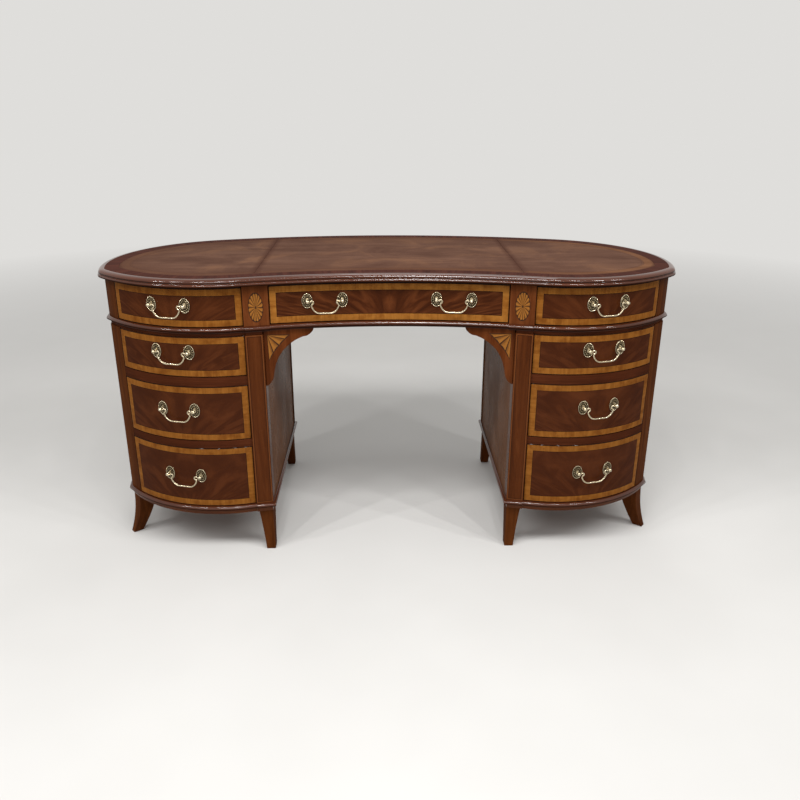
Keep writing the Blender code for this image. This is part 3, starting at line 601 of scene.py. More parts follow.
oak = bare_wood("planed_oak", Finish.place, OAK)
facing_xs = steps(POST_OUT_X + SEAT, DRAWER_OUT_X - SEAT, LOBE_STEPS)
facing_ring = [Vector((x, curve_y(x, -FACING_SET))) for x in facing_xs]
facing_ring += [Vector((x, curve_y(x, -FACING_SET - FACING_T))) for x in reversed(facing_xs)]
for board, below, above in (("lower", "lower", "middle"), ("upper", "middle", "upper")):
    rail_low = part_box(f"drawer_right_{below}_front")[1].z
    rail_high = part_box(f"drawer_right_{above}_front")[0].z
    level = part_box(f"pedestal_right_{board}_dust_board")[0].z
    dress(f"pedestal_{{}}_{board}_dust_board", oak, BOARD_ARRIS)
    facing_board = slab(facing_ring, level - FACING_LAP, rail_high - (level - rail_low) + FACING_LAP)
    settle_pair(f"{board}_rail", facing_board, [rail_mahogany])


# Frieze: a bent board round the sides and back that ends in the canted corners, and two posts
# between the drawers. Each post carries an upright oval fan of satinwood petals, shaded in hot sand
# on one side and edged with ebony.
PILASTER_D = 0.032
PATERA_W, PATERA_H, PATERA_HUB, PATERA_RIM = 0.035, 0.071, 0.1, 1.07
PATERA_DROP, RIM_STEPS = 0.0045, 64
PETALS, PETAL_BOW, PETAL_JOINT = 16, 0.075, 0.09
PETAL_COLUMNS, PETAL_ROWS = 8, 6
PETAL_READINGS = ("across", "reach", "petal")
INLAY_LIFT = 0.00015

SATINWOOD = ((0.19, 0.068, 0.01), (0.27, 0.103, 0.017), (0.37, 0.155, 0.029))
SCORCHED = (0.06, 0.018, 0.006)
EBONY_LINE, EBONY_STREAK = (0.012, 0.005, 0.003), (0.04, 0.016, 0.009)
DIVIDER_MAHOGANY = ((0.055, 0.0135, 0.0036), (0.116, 0.032, 0.0086), (0.192, 0.06, 0.018))

outer = [Vector((DRAWER_OUT_X, curve_y(DRAWER_OUT_X, 0.0)))] + cant_points(0.0)
behind = CARCASE.side + facing(SIDE_TURN) * (CARCASE.side_r - SHELL_T)
inner = [outer[0] + Vector((0.0, PILASTER_D)), behind] + side_line(-SHELL_T) + back_line(-SHELL_T)
outer += side_line(0.0) + back_line(0.0)
ring = outer + mirrored(reversed(outer[:-1])) + mirrored(inner) + inner[-2::-1]
settle("frieze_board", slab(ring, FRIEZE_LOW, FRIEZE_TOP), [brown_mahogany], "frieze_shell")


def flat_face(first, second, level):
    """Places on a flat face, by their spot across and up it and their lift."""
    along = (second - first).normalized()

    def at(spot, lift):
        place = first + along * spot.x + Vector((along.y, -along.x)) * lift
        return place.x, place.y, level + spot.y
    return at


def shaded_satinwood():
    """Satinwood petals, scorched along one edge and towards the root."""
    finish = french_polish("shaded_satinwood", 0.12)
    across, reach, petal = (finish.attribute(name) for name in PETAL_READINGS)
    wood, pores = veneer(finish.together(reach, across, petal), SATINWOOD, 4.0, WIDE)
    scorch = across.span(0.0, 0.6, 1.0, 0.0) * reach.span(0.0, 1.0, 1.0, 0.65)
    return finish.complete(scorch.blend(wood, SCORCHED), pores, 0.25, 0.38)


def ebony_line():
    finish = french_polish("ebony_line", 0.12)
    streaks = finish.place().noise(900.0, 3.0)
    return finish.complete(streaks.ramp(((0.3, EBONY_LINE), (0.7, EBONY_STREAK))), streaks, 0.26, 0.4)


def fan(at, outline, petals):
    """A dark ground with petals let in. A petal gives its root and its end for a share across it."""
    bm = bmesh.new()
    layers = [bm.verts.layers.float.new(name) for name in PETAL_READINGS]
    ground = bm.faces.new([bm.verts.new(at(spot, INLAY_LIFT)) for spot in outline])
    ground.material_index = 1
    for number, petal in enumerate(petals):
        rows = []
        for row in steps(0.0, 1.0, PETAL_ROWS):
            rows.append([])
            for column in steps(0.0, 1.0, PETAL_COLUMNS):
                root, end = petal(column)
                vertex = bm.verts.new(at(root.lerp(end, row), 2 * INLAY_LIFT))
                for layer, amount in zip(layers, (column, row, number)):
                    vertex[layer] = amount
                rows[-1].append(vertex)
        for low, high in zip(rows, rows[1:]):
            for corners in zip(low, low[1:], high[1:], high):
                bm.faces.new(corners)
    return bm


def oval(share, turn):
    return Vector((PATERA_W / 2 * cos(turn), PATERA_H / 2 * sin(turn))) * share


def oval_petal(number):
    def petal(share):
        turn = tau * (number + mix(PETAL_JOINT, 1.0 - PETAL_JOINT, share)) / PETALS
        return oval(PATERA_HUB, turn), oval(1.0 - PETAL_BOW * (2.0 * share - 1.0) ** 2, turn)
    return petal


inlay_finishes = [shaded_satinwood(), ebony_line()]
divider_mahogany = mahogany("divider_mahogany", upright, DIVIDER_MAHOGANY)
post_ends = [Vector((x, curve_y(x, POST_PROUD))) for x in (POST_IN_X, POST_OUT_X)]
patera_level = (FRIEZE_LOW + FRIEZE_TOP) / 2 - PATERA_DROP
patera_face = flat_face((post_ends[0] + post_ends[1]) / 2, post_ends[1], patera_level)
patera_ground = [oval(PATERA_RIM, turn) for turn in whole_turn(RIM_STEPS)]
dress("frieze_divider_{}", divider_mahogany)
settle_pair("post_patera", fan(patera_face, patera_ground, map(oval_petal, range(PETALS))), inlay_finishes)


# Kneehole brackets: cusped spandrels sawn from mahogany and glued in the angle of kneehole and
# pedestal. A quarter fan of four satinwood petals with dark joints is let into each face.
BRACKET_W, BRACKET_H, BRACKET_T, BRACKET_SET = 0.1276, 0.149, 0.018, 0.006
BRACKET_RUNS_SHARES = (
    ((1.0, 0.0), (0.968, 0.06), (0.874, 0.127), (0.77, 0.146)),
    ((0.77, 0.146), (0.64, 0.192), (0.519, 0.257), (0.425, 0.325), (0.343, 0.4), (0.272, 0.495),
     (0.216, 0.605), (0.18, 0.72), (0.159, 0.825)),
    ((0.159, 0.825), (0.125, 0.905), (0.07, 0.965), (0.014, 1.0)),
)
SMOOTHING = 5
FAN_ROOT = Vector((-0.0089, -0.0127))
FAN_ENDS = [Vector(end) for end in (
    (-0.064, -0.0145), (-0.052, -0.025), (-0.0365, -0.041), (-0.0215, -0.059), (-0.01, -0.08))]
FAN_JOINT, FAN_HUB, FAN_BOW, FAN_MARGIN = 0.08, 0.03, 0.0018, 0.0011


def smooth_run(points):
    """A curve through points, with its ends free."""
    spots = [Vector(point) for point in points]
    spots = [2 * spots[0] - spots[1], *spots, 2 * spots[-1] - spots[-2]]
    line = [spots[1]]
    for a, b, c, d in zip(spots, spots[1:], spots[2:], spots[3:]):
        for t in steps(0.0, 1.0, SMOOTHING)[1:]:
            bend = (2 * a - 5 * b + 4 * c - d) * t**2 + (3 * b - a - 3 * c + d) * t**3
            line.append(b + ((c - a) * t + bend) / 2)
    return line


def quarter_petal(first, last):
    def petal(share):
        end = first.lerp(last, mix(FAN_JOINT, 1.0 - FAN_JOINT, share))
        bow = (end - FAN_ROOT).normalized() * FAN_BOW * (1.0 - (2.0 * share - 1.0) ** 2)
        return FAN_ROOT.lerp(end, FAN_HUB), end - bow
    return petal


upright_mahogany = mahogany("upright_mahogany", upright, RED_MAHOGANY)
shares = [Vector((0.0, 0.0)), Vector(BRACKET_RUNS_SHARES[0][0])]
for run in BRACKET_RUNS_SHARES:
    shares += smooth_run(run)[1:]
outline = [Vector((-spot.x * BRACKET_W, -spot.y * BRACKET_H)) for spot in [*shares, Vector((0.0, 1.0))]]
far_x = KNEE_X - BRACKET_W
near, far = Vector((KNEE_X, post_face_y(KNEE_X, 0.0))), Vector((far_x, curve_y(far_x, 0.0)))
across_bracket = (near - far).normalized()
seat = BRACKET_T / 2 * across_bracket.y
middle = Vector((KNEE_X - SEAT - seat, near.y + BRACKET_SET + BRACKET_T / 2))
bracket_front = middle + Vector((across_bracket.y, -across_bracket.x)) * BRACKET_T / 2
bracket_face = flat_face(bracket_front, bracket_front + across_bracket, KNEE_CEILING - SEAT)
margin = [FAN_ROOT + Vector((FAN_MARGIN, FAN_MARGIN)), FAN_ENDS[0] + Vector((-2 * FAN_MARGIN, FAN_MARGIN / 2))]
margin += [end - Vector((FAN_MARGIN, FAN_MARGIN)) for end in FAN_ENDS[1:-1]]
margin += [FAN_ENDS[-1] + Vector((0.0, -2 * FAN_MARGIN))]
spandrel = bmesh.new()
loops = [[spandrel.verts.new(bracket_face(spot, lift)) for spot in outline] for lift in (0.0, -BRACKET_T)]
join_loops(spandrel, loops)
for loop in loops:
    spandrel.faces.new(loop)
settle_pair("spandrel", spandrel, [upright_mahogany], "bracket_{}", arris=ARRIS)
bracket_fan = fan(bracket_face, margin, map(quarter_petal, FAN_ENDS, FAN_ENDS[1:]))
settle_pair("spandrel_fan", bracket_fan, inlay_finishes)


# Top board: a thick mahogany core with a glossy double-bead edge worked in solid wood. A dark
# crossbanded border, its grain square to the edge, frames the sunk field for the leather.
TOP_OVERHANG = 0.0218
TOP_SIDE_AHEAD, TOP_CORNER_R = 0.084, 0.06
TOP_CORNER_STEPS, TOP_FRONT_STEPS = 20, 96
NOSE_REACH = 0.018
FIELD_BORDER, FIELD_DROP = 0.055, 0.0015
TOP_LOW, TOP_HIGH = (corner.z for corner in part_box("top_board"))
TOP = Rear(TOP_SIDE_AHEAD)

PURPLE_MAHOGANY = ((0.025, 0.0072, 0.005), (0.056, 0.016, 0.01), (0.1, 0.0305, 0.0175))


def top_ring(out):
    """The kidney of the top, with its front corners rounded."""
    radius = TOP_CORNER_R - OVERHANG
    hubs = intersect_sphere_sphere_2d(LOBE, LOBE_R - radius, TOP.side, TOP.side_r - radius)
    middle = min(hubs, key=lambda hub: hub.y)
    first, last = (atan2(*reversed(middle - hub)) for hub in (LOBE, TOP.side))
    start_x = LOBE.x + LOBE_R * cos(first)
    half = [front_point(x, out) for x in steps(0.0, start_x, TOP_FRONT_STEPS)[:-1]]
    half += [middle + facing(turn) * (radius + out) for turn in steps(first, last, TOP_CORNER_STEPS)]
    return whole_ring(half + side_line(out, last, TOP) + back_line(out, rear=TOP))


def nose_profile():
    """The edge as (share of its reach, share of the thickness): a bead, a quirk and a thumbnail."""
    bead = [(0.74 + 0.26 * cos(turn), 0.245 + 0.215 * sin(turn)) for turn in steps(-1.45, 1.35, 12)]
    cove = [(0.8 + 0.08 * sin(turn), 0.62 - 0.075 * cos(turn)) for turn in steps(0.1, 1.5, 5)]
    thumb = [(0.88 * cos(turn) ** 0.8, 0.63 + 0.37 * sin(turn)) for turn in steps(0.1, 1.5, 12)]
    return [(0.3, 0.0), *bead, (0.77, 0.485), (0.77, 0.525), *cove, *thumb, (0.0, 1.0)]


nose_mahogany = moulding("nose_mahogany")
crossbanding = mahogany("crossbanding", crossing_grain, PURPLE_MAHOGANY, 60.0, gloss=0.07)

top_levels = []
for reach, rise in nose_profile():
    top_levels.append((top_ring(TOP_OVERHANG - NOSE_REACH * (1.0 - reach)), mix(TOP_LOW, TOP_HIGH, rise)))
field_ring = top_ring(OVERHANG - FIELD_BORDER)
nose_faces = (len(top_levels) - 1) * len(field_ring)
top = ringed(top_levels + [(field_ring, TOP_HIGH), (field_ring, TOP_HIGH - FIELD_DROP)])
for number, face in enumerate(top.faces):
    face.material_index = 1 if number >= nose_faces else 0
settle("writing_top", top, [nose_mahogany, crossbanding], "top_board", slot="mahogany_border")


# Writing surface: three skins of antiqued hide glued into the sunk field and butted at two burnished
# seams, worn lighter and darker in patches. A tan border of about an inch is marked off by two
# blind-tooled lines.
SEAM_X, SEAM_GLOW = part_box("leather_right")[0].x, 0.017
HIDE_T, HIDE_ARRIS = 0.0012, 0.0004
TOOLED_BORDER, TOOLED_GAP, TOOLED_W = 0.025, 0.0048, 0.0014
FIELD_OUT = OVERHANG - FIELD_BORDER
CORNER_EASE = 0.03
HANDLED_REACH, HANDLED_X, EDGE_STAIN = 0.11, 0.6, 0.006

HIDE = ((0.22, (0.076, 0.035, 0.022)), (0.52, (0.105, 0.051, 0.033)), (0.82, (0.146, 0.075, 0.049)))
TAN_HIDE = ((0.26, (0.103, 0.043, 0.021)), (0.52, (0.137, 0.061, 0.03)), (0.76, (0.186, 0.088, 0.046)))
WORN_HIDE, SOILED_HIDE, BURNISHED_HIDE = (0.165, 0.08, 0.044), (0.066, 0.029, 0.019), (0.06, 0.024, 0.015)


def field_distance(finish):
    """How far a point of the field lies from its edge, and its x."""
    x, y, _ = finish.place().apart()
    spot = finish.together(abs(x), y, 0.0)

    def away(hub):
        return finish.node("VectorMath", "Value", {0: spot, 1: (*hub, 0.0)}, operation="DISTANCE")

    hollow = away(CENTRE) - (CENTRE_R - FIELD_OUT)
    lobe = LOBE_R + FIELD_OUT - away(LOBE)
    on_lobe = abs(x) / (y - CENTRE.y) > LOBE.x / (LOBE.y - CENTRE.y)
    side = TOP.side_r + FIELD_OUT - away(TOP.side)
    back = TOP.back_r + FIELD_OUT - away(TOP.back)
    on_back = abs(x) / (y - TOP.back.y) < tan(TOP.turn)
    return mix(hollow, lobe, on_lobe).eased_lesser(mix(side, back, on_back), CORNER_EASE), x


def antiqued_hide():
    """Brown hide, stained at its edges, its seams and where hands rest."""
    finish = Finish("antiqued_hide", specular_ior_level=0.0, coat_weight=0.06, coat_roughness=0.3)
    inset, x = field_distance(finish)
    place = finish.place()
    pebble = finish.node("TexVoronoi", "Distance", {"Vector": place, "Scale": 620.0})
    creases = place.noise(260.0)
    cloud = place.stretched(0.5, 2.4, 1.0).noise(9.0, 5.0, 0.6, 0.4)
    patches = place.noise(6.5, 4.0, 0.62, 0.6)
    hide = patches.span(0.5, 0.68, 0.0, 0.75).blend(cloud.ramp(HIDE), WORN_HIDE)
    hide = patches.span(0.46, 0.32, 0.0, 0.6).blend(hide, SOILED_HIDE)
    border = x.span(-SEAM_X, SEAM_X, 0.65, 0.0).blend(cloud.ramp(TAN_HIDE), hide)
    colour = inset.span(TOOLED_BORDER - 0.002, TOOLED_BORDER + 0.004, 1.0, 0.0).blend(hide, border)
    handled = inset.span(0.0, HANDLED_REACH, 0.5, 0.0) * x.span(SEAM_X, HANDLED_X, 1.0, 0.0)
    colour = handled.blend(colour, BURNISHED_HIDE)
    seam = abs(abs(x) - SEAM_X) + place.noise(24.0, 3.0) * SEAM_GLOW
    edge = inset.span(0.0, EDGE_STAIN, 0.75, 0.0)
    burnish = edge.greater(seam.span(SEAM_GLOW / 2, 1.5 * SEAM_GLOW, 0.92, 0.0))
    lines = (inset.near(TOOLED_BORDER + gap, TOOLED_W / 2) for gap in (0.0, TOOLED_GAP))
    tooling = next(lines).greater(next(lines))
    colour = burnish.greater(tooling * 0.7).blend(colour, BURNISHED_HIDE)
    return finish.complete(colour, cloud, 0.3, 0.46, creases + pebble * 0.35 - tooling, 0.35, 0.0005)


def cut_at(outline, limit, side):
    """The part of an outline on one side of the line x = limit."""
    kept = []
    for a, b in zip(outline, outline[1:] + outline[:1]):
        if side * (a.x - limit) >= 0:
            kept.append(a)
        if (a.x - limit) * (b.x - limit) < 0:
            kept.append(a.lerp(b, (limit - a.x) / (b.x - a.x)))
    return kept


hide_ring = top_ring(FIELD_OUT - SEAT)
hide_finish = antiqued_hide()
hide_low = TOP_HIGH - FIELD_DROP + SEAT
centre_skin = cut_at(cut_at(hide_ring, SEAM_X - SEAT, -1), SEAT - SEAM_X, 1)
skins = {"right": cut_at(hide_ring, SEAM_X, 1), "left": cut_at(hide_ring, -SEAM_X, -1), "centre": centre_skin}
for side, skin in skins.items():
    panel = slab(skin, hide_low, hide_low + HIDE_T)
    piece = settle(f"{side}_writing_skin", panel, [hide_finish], f"leather_{side}", slot="leather")
    soften_edges(piece, HIDE_ARRIS)


# Drawer fronts: bowed or hollowed boards veneered in matched flame mahogany, framed by a mitred band
# of satinwood laid crosswise, with a dark line on each side of the band. The drawer boxes are oak.
FRONT_T, FRONT_GAP, CHAMFER = 0.018, 0.0013, 0.0008
EDGE_LINE, BAND_W, INNER_LINE = 0.0017, 0.0175, 0.0012
FRONT_COLUMNS = 40
FRONT_READINGS = ("side", "level", "along", "height", "seed")
SEED_STEP = 3.7
# Height of the painted shadow along the top of the centre and frieze drawers.
TOP_SHADOW_STRIP = 0.0032
FLAME_DEPTH, FLAME_SPREAD, FLAME_LEAN = 0.06, 0.16, 1.7

FLAME = ((0.026, 0.0062, 0.0018), (0.05, 0.0125, 0.0034), (0.088, 0.024, 0.0068))
LIGHT_RIPPLE, DARK_RIPPLE = (0.118, 0.034, 0.01), (0.026, 0.0062, 0.002)
# The first is painted shade for the side drawers' bands; the second mottles every band.
SIDE_BAND_SHADE, MOTTLED_BAND = (0.8, 0.75, 0.68), (0.74, 0.66, 0.58)


def inlaid_front():
    """Flame veneer inside the lined band, softer on the side drawers, whose band is painted darker as shade."""
    finish = french_polish("inlaid_front", 0.11, 0.0)
    side, level, along, height, seed = (finish.attribute(name) for name in FRONT_READINGS)
    spread, climb = abs(along), height + FLAME_DEPTH
    ray = spread / climb**FLAME_LEAN
    reach = (spread * spread + climb * climb).root()
    flame_grain = finish.together(reach, ray * (FLAME_SPREAD / 2), seed)
    flame, pores = veneer(flame_grain, FLAME, 6.0, WIDE)
    ripple = flame_grain.stretched(16.0, 9.0, 5.0).noise(1.0, 3.0, 0.55, 0.6)
    flame = ripple.span(0.46, 0.66, 0.0, 0.62).blend(flame, LIGHT_RIPPLE)
    flame = ripple.span(0.44, 0.3, 0.0, 0.55).blend(flame, DARK_RIPPLE)
    side_drawer = seed > SEED_STEP / 2
    flame = (side_drawer * 0.45).blend(flame, FLAME[1])
    outward = finish.together(along, height, seed)
    band_grain = (side < level).blend(finish.together(height, along, seed), outward)
    band, _ = veneer(band_grain, SATINWOOD, 80.0, WIDE)
    # The side drawers' bands are multiplied darker and more golden: painted shade.
    band = side_drawer.blend(band, SIDE_BAND_SHADE, "MULTIPLY")
    band = outward.noise(34.0, 3.0).span(0.46, 0.64, 0.0, 1.0).blend(band, MOTTLED_BAND, "MULTIPLY")
    inset, colour = side.lesser(level), flame
    # The edge line's dark colour also fills the painted shadow strip along the top of the centre and frieze
    # drawers.
    for limit, shade in ((BAND_W + INNER_LINE, EBONY_LINE), (BAND_W, band), (EDGE_LINE, EBONY_LINE)):
        colour = (inset < limit).blend(colour, shade)
    return finish.complete(colour, pores, 0.2, 0.34, pores, 0.22)


def veneered_board(xs, low, high, seed, behind):
    """A drawer front on the plan's line, with readings for its veneers. A strip as high as behind along
    the top is painted dark, as the shadow under the top's moulding."""
    bm = bmesh.new()
    layers = [bm.verts.layers.float.new(name) for name in FRONT_READINGS]
    runs = runs_along([Vector((x, curve_y(abs(x), 0.0))) for x in xs])
    columns = []
    for x, length in zip(xs, runs):
        proud = -CHAMFER if x in (xs[0], xs[-1]) else 0.0
        profile = [
            (-FRONT_T, low), (proud - CHAMFER, low), (proud, low + CHAMFER), (proud, (low + high - behind) / 2),
            (proud, high - CHAMFER), (proud - CHAMFER, high), (-FRONT_T, high)]
        column = []
        for out, z in profile:
            vertex = bm.verts.new((x, curve_y(abs(x), out), z))
            level = 0.0 if out < -CHAMFER * 1.5 else min(z - low, high - behind - z)
            readings = (min(length, runs[-1] - length), level, length - runs[-1] / 2, z - low, seed)
            for layer, amount in zip(layers, readings):
                vertex[layer] = amount
            column.append(vertex)
        columns.append(column)
    for a, b in zip(columns, columns[1:]):
        for i, corners in enumerate(zip(a, b, b[1:] + b[:1], a[1:] + a[:1])):
            bm.faces.new(corners).material_index = 0 if 0 < i < len(a) - 2 else 1
    for end in (columns[0], columns[-1]):
        bm.faces.new(end).material_index = 1
    return bm


def chamfered(xs):
    """Places across a front, with one more where each chamfer stops."""
    return [xs[0], xs[0] + CHAMFER, *xs[1:-1], xs[-1] - CHAMFER, xs[-1]]


lobe_turns = [asin((x - LOBE.x) / LOBE_R) for x in (POST_OUT_X + FRONT_GAP, DRAWER_OUT_X - FRONT_GAP)]
side_xs = chamfered([LOBE.x + LOBE_R * sin(turn) for turn in steps(*lobe_turns, FRONT_COLUMNS)])
centre_xs = chamfered(steps(FRONT_GAP - POST_IN_X, POST_IN_X - FRONT_GAP, 2 * FRONT_COLUMNS))
front_finish = inlaid_front()
box_oak = bare_wood("drawer_oak", along_each_board, OAK)
back_mahogany = bare_wood("front_back_mahogany", Finish.place, RED_MAHOGANY, FINE)
drawers = [("centre", 1, "centre")]
for level in ("frieze", "upper", "middle", "lower"):
    drawers += [(level, mirror, f"{side}_{level}") for side, mirror in SIDES]
for number, (level, mirror, place) in enumerate(drawers):
    drawer = f"drawer_{place}"
    low, high = (corner.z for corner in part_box(drawer + "_front"))
    # The centre and frieze drawers get a dark strip painted along the top: the shadow of the top's moulding.
    behind = TOP_SHADOW_STRIP if level in ("centre", "frieze") else 0.0
    xs = centre_xs if level == "centre" else side_xs
    board = veneered_board(xs, low, high, SEED_STEP * number, behind)
    settle(
        f"{place}_drawer_face", board, [front_finish, back_mahogany], drawer + "_front", body=drawer,
        mirror=mirror, slot="mahogany_front")
    dress(drawer + "_box", box_oak)


# Handles: swan-neck pulls in antiqued brass. Two stamped oval plates with a beaded rim and a ring of
# petals are held by ball-headed posts, and the bail swings between the balls.
BORING = 0.0889
PLATE_W, PLATE_H, PLATE_STEPS = 0.0275, 0.0385, 180
PLATE_PROFILE = (
    (1.0, -0.0002), (1.0, 0.0009), (0.975, 0.0016), (0.93, 0.002), (0.885, 0.0016), (0.85, 0.0008),
    (0.79, 0.0009), (0.72, 0.0017), (0.62, 0.0023), (0.53, 0.002), (0.47, 0.0011), (0.43, 0.0012),
    (0.37, 0.0025), (0.3, 0.0031), (0.2, 0.0034), (0.0, 0.0036))
RIM_SHARE = 0.86
STRIKES = ((RIM_SHARE, 0.99, 30, 0.00042), (0.5, 0.8, 14, 0.00055))
WEAR_BY_HEIGHT, WEAR_BY_STRIKE, RIM_WEAR, HUB_WEAR = 0.62 / 0.003, 0.16, 0.42, 1.0
POST_R, BALL_R, BALL_REACH, BALL_STEPS, POST_SIDES = 0.0032, 0.005, 0.0135, 14, 24
COLLAR_R, COLLAR_LEVEL, COLLAR_HALF = 0.0044, 0.0048, 0.0005
POST_WEAR, BALL_WEAR, TIP_WEAR, BAIL_WEAR = 0.45, 0.85, 0.95, 0.84
BAIL_R, BAIL_DROP, BAIL_SIDES = 0.0019, 0.03, 12
BAIL_SHAPE_SHARES = (
    (1.0, 0.0), (0.945, 0.0), (0.875, -0.06), (0.795, -0.03), (0.753, 0.073), (0.785, 0.18),
    (0.857, 0.253), (0.883, 0.347), (0.852, 0.483), (0.782, 0.65), (0.679, 0.82), (0.537, 0.947),
    (0.374, 1.0), (0.0, 1.0),
)
LOBE_HANDLE_TURN, CENTRE_HANDLE_X = radians(14.15), 0.1635

BRASS = (
    (0.18, (0.022, 0.016, 0.009)), (0.5, (0.13, 0.095, 0.052)), (0.74, (0.48, 0.395, 0.25)),
    (0.95, (0.8, 0.715, 0.53)))


def antiqued_brass():
    """Brass that is dark in its hollows and rubbed bright where it stands proud."""
    finish = Finish("antiqued_brass", metallic=1.0)
    grime = finish.place().noise(420.0)
    wear = finish.attribute("relief") + grime.span(0.3, 0.7, -0.22, 0.16)
    return finish.complete(wear.ramp(BRASS), wear, 0.52, 0.24, grime, 0.15, 0.0003, between=(0.2, 1.0))


def close_turned(bm, relief, loops, tip_height, tip_wear):
    """Joins the loops of a plate or a post, with a flat foot and a tip."""
    tip = bm.verts.new((0.0, 0.0, tip_height))
    tip[relief] = tip_wear
    join_loops(bm, loops)
    for a, b in zip(loops[-1], loops[-1][1:] + loops[-1][:1]):
        bm.faces.new((a, b, tip))
    bm.faces.new(reversed(loops[0]))
    return [vertex for loop in loops for vertex in loop] + [tip]


def stamped_plate(bm, relief):
    """An oval plate, raised and struck, facing along +Z."""
    loops = []
    for share, height in PLATE_PROFILE[:-1]:
        loop = []
        for turn in whole_turn(PLATE_STEPS):
            struck, mark = height, 0.0
            for low, high, count, depth in STRIKES:
                if low < share < high:
                    mark = cos(count * turn)
                    struck += depth * mark
            across, up = PLATE_W / 2 * cos(turn), PLATE_H / 2 * sin(turn)
            vertex = bm.verts.new((across * share, up * share, struck))
            vertex[relief] = WEAR_BY_HEIGHT * struck + WEAR_BY_STRIKE * mark
            vertex[relief] += RIM_WEAR if share > RIM_SHARE else 0.0
            loop.append(vertex)
        loops.append(loop)
    return close_turned(bm, relief, loops, PLATE_PROFILE[-1][1], HUB_WEAR)


def turned_post(bm, relief):
    """The post with its collar and ball, turned about Z."""
    waist = acos(POST_R / BALL_R)
    profile = [(POST_R, 0.0)]
    for radius, rise in ((POST_R, -2), (COLLAR_R, -1), (COLLAR_R, 1), (POST_R, 2)):
        profile.append((radius, COLLAR_LEVEL + COLLAR_HALF * rise))
    for turn in steps(-waist, pi / 2, BALL_STEPS)[:-1]:
        profile.append((BALL_R * cos(turn), BALL_REACH + BALL_R * sin(turn)))
    loops = []
    for radius, level in profile:
        loops.append([bm.verts.new((*(facing(turn) * radius), level)) for turn in whole_turn(POST_SIDES)])
        for vertex in loops[-1]:
            vertex[relief] = POST_WEAR if level < COLLAR_LEVEL else BALL_WEAR
    return close_turned(bm, relief, loops, BALL_REACH + BALL_R, TIP_WEAR)


def swan_neck(bm, relief, reach):
    """A bail in its own XZ plane, reach being half its length."""
    right = smooth_run([(reach * x, -BAIL_DROP * z) for x, z in BAIL_SHAPE_SHARES])
    line = right + mirrored(reversed(right[:-1]))
    loops = []
    for before, spot, after in zip([line[0], *line], line, [*line[1:], line[-1]]):
        along = (after - before).normalized()
        square = Vector((-along.y, along.x))
        loop = []
        for turn in whole_turn(BAIL_SIDES):
            offset = square * cos(turn) * BAIL_R
            vertex = bm.verts.new((spot.x + offset.x, sin(turn) * BAIL_R, spot.y + offset.y))
            vertex[relief] = BAIL_WEAR
            loop.append(vertex)
        loops.append(loop)
    join_loops(bm, loops)
    for end in (loops[0], loops[-1]):
        bm.faces.new(end)


def handle_feet(hub, radius, middle, bulge):
    """Feet and outward directions of two posts on a bowed front, or a hollow one for bulge -1."""
    half = asin(BORING / 2 / radius)
    ways = [facing(middle + bulge * turn) for turn in (-half, half)]
    return [(hub + way * radius, way * bulge) for way in ways]


def hang_handle(place, feet, drawer, mirror=1):
    """Two plates with their posts on a drawer, and the bail between the balls."""
    bail = f"bail_{place}"
    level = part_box(bail)[0].z + BAIL_DROP + BAIL_R
    plates = bmesh.new()
    relief = plates.verts.layers.float.new("relief")
    for foot, out in feet:
        made = stamped_plate(plates, relief) + turned_post(plates, relief)
        axes = Matrix(((-out.y, out.x, 0.0), (0.0, 0.0, 1.0), (out.x, out.y, 0.0))).transposed()
        put = Matrix.Translation((*foot, level)) @ axes.to_4x4()
        bmesh.ops.transform(plates, matrix=put, verts=made)
    settle(f"{place}_plates_and_posts", plates, [brass], body=drawer, mirror=mirror, slot="brass")
    first, last = (foot + out * BALL_REACH for foot, out in feet)
    middle, along = (first + last) / 2, last - first
    swing = bmesh.new()
    swan_neck(swing, swing.verts.layers.float.new("relief"), along.length / 2 - BALL_R - SEAT)
    turn = Matrix.Rotation(atan2(along.y, along.x), 4, "Z")
    bmesh.ops.transform(swing, matrix=Matrix.Translation((*middle, level)) @ turn, verts=swing.verts)
    settle(f"{place}_swan_neck", swing, [brass], bail, body=bail, mirror=mirror, slot="brass")


brass = antiqued_brass()
centre_turn = asin(CENTRE_HANDLE_X / CENTRE_R)
for side, turn in (("left", pi / 2 + centre_turn), ("right", pi / 2 - centre_turn)):
    hang_handle(f"centre_{side}", handle_feet(CENTRE, CENTRE_R, turn, -1), "drawer_centre")
lobe_feet = handle_feet(LOBE, LOBE_R, LOBE_HANDLE_TURN - pi / 2, 1)
for level, mirror, place in drawers[1:]:
    hang_handle(place, lobe_feet, f"drawer_{place}", mirror)


# Studio: a plain pale floor that fades into a backdrop of its own colour, soft lamps, and the camera
# where the photograph was taken from.
FLOOR_R, FLOOR_SIDES = 40.0, 96
FADE_NEAR, FADE_FAR = 1.6, 5.0
PALE = (0.74, 0.73, 0.71)
FLOOR_PAINT = ((0.3, (0.65, 0.64, 0.62)), (0.7, (0.69, 0.68, 0.66)))
LAMP_AIM = Vector((0.0, 0.0, 0.4))
SKY_COLOUR, SKY_LIGHT = (1.0, 0.99, 0.97, 1.0), 0.42
CAMERA_PLACE = (-0.0227, -2.1947, 1.1809)
PITCH, YAW, ROLL = (radians(angle) for angle in (21.113, 1.4684, 0.1196))
LENS, SENSOR, FRAME_PIXELS = 35.211, 36.0, 800.0


def seen_directly(wiring):
    """One where a ray comes from the camera, or by gloss or glass."""
    camera, gloss, glass = (
        wiring.node("LightPath", f"Is {kind} Ray") for kind in ("Camera", "Glossy", "Transmission"))
    return camera.greater(gloss).greater(glass)


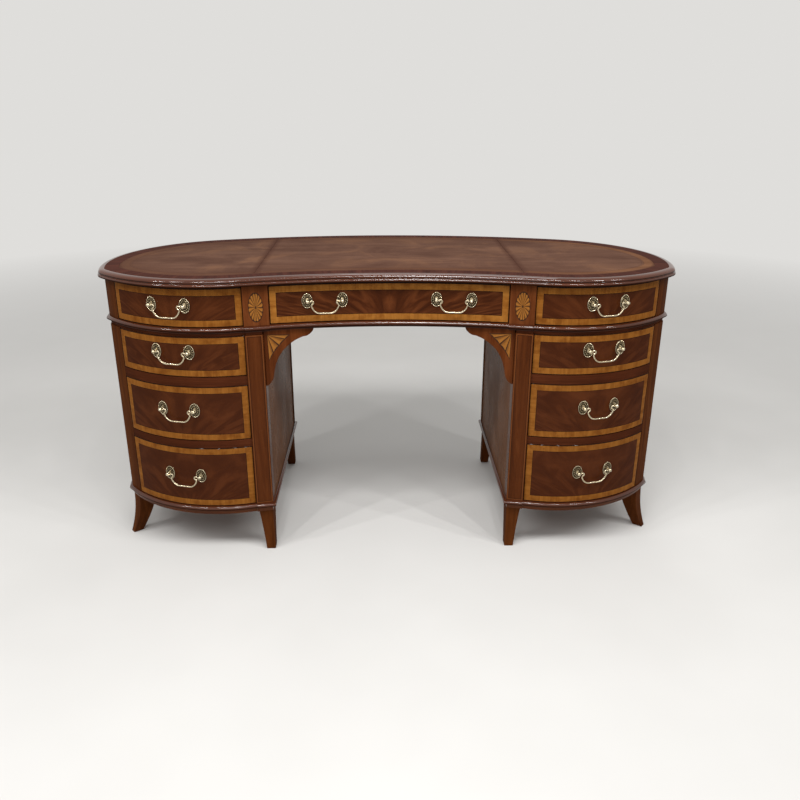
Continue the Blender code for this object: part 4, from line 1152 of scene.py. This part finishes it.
def studio_floor():
    """Pale paint, fading with distance into the backdrop."""
    finish = Finish("pale_floor", specular_ior_level=0.1)
    drift = finish.place().noise(1.5, 3.0)
    away = finish.node("VectorMath", "Value", {0: finish.place()}, operation="LENGTH")
    fade = away.span(FADE_NEAR, FADE_FAR, 0.0, 1.0) * seen_directly(finish)
    paint = Reading(finish, finish.shader.outputs[0])
    backdrop = finish.node("Emission", inputs={"Color": (*PALE, 1.0), "Strength": 1.0})
    both = finish.node("MixShader", inputs={0: fade, 1: paint, 2: backdrop})
    finish.join(both, finish.tree.nodes["Material Output"].inputs["Surface"])
    return finish.complete(drift.ramp(FLOOR_PAINT), drift, 0.72, 0.82)


bm = bmesh.new()
bm.faces.new([bm.verts.new((*(facing(turn) * FLOOR_R), 0.0)) for turn in whole_turn(FLOOR_SIDES)])
shaped("studio_floor", bm, [studio_floor()])

lamps = [("key_lamp", (-0.4, -2.3, 2.0), 0.8, 0.8, 12.0), ("rear_lamp", (0.3, 1.6, 3.2), 1.2, 1.2, 14.0)]
for number, share in enumerate(steps(-1.0, 1.0, 8)):
    across = copysign(2.4 * abs(share) ** 1.4, share)
    lamps.append((f"ceiling_lamp_{number}", (across, -1.5, 2.6), 0.05, 0.7, 7.5 + 6.0 * abs(share)))
for name, spot, size, depth, power in lamps:
    lamp = bpy.data.lights.new(name, "AREA")
    lamp.shape = "RECTANGLE"
    lamp.energy, lamp.size, lamp.size_y = power, size, depth
    lit = stand(name, lamp)
    lit.location = spot
    lit.rotation_euler = (LAMP_AIM - Vector(spot)).to_track_quat("-Z", "Y").to_euler()

world = bpy.data.worlds.new("studio")
world.use_nodes = True
sky = Wiring(world.node_tree)
light = sky.tree.nodes["Background"]
light.inputs["Color"].default_value = SKY_COLOUR
light.inputs["Strength"].default_value = SKY_LIGHT
backdrop = sky.node("Background", inputs={"Color": (*PALE, 1.0)})
both = sky.node("MixShader", inputs={0: seen_directly(sky), 1: Reading(sky, light.outputs[0]), 2: backdrop})
sky.join(both, sky.tree.nodes["World Output"].inputs["Surface"])
bpy.context.scene.world = world
bpy.context.scene.view_settings.view_transform = "Standard"

camera = bpy.data.cameras.new("photo_camera")
camera.lens, camera.sensor_width = LENS, SENSOR
camera.shift_y = -0.5 / FRAME_PIXELS
eye = stand("photo_camera", camera)
aimed = Matrix.Translation(CAMERA_PLACE)
for turn, axis in ((-YAW, "Z"), (pi / 2 - PITCH, "X"), (ROLL, "Z")):
    aimed @= Matrix.Rotation(turn, 4, axis)
eye.matrix_world = aimed
bpy.context.scene.camera = eye
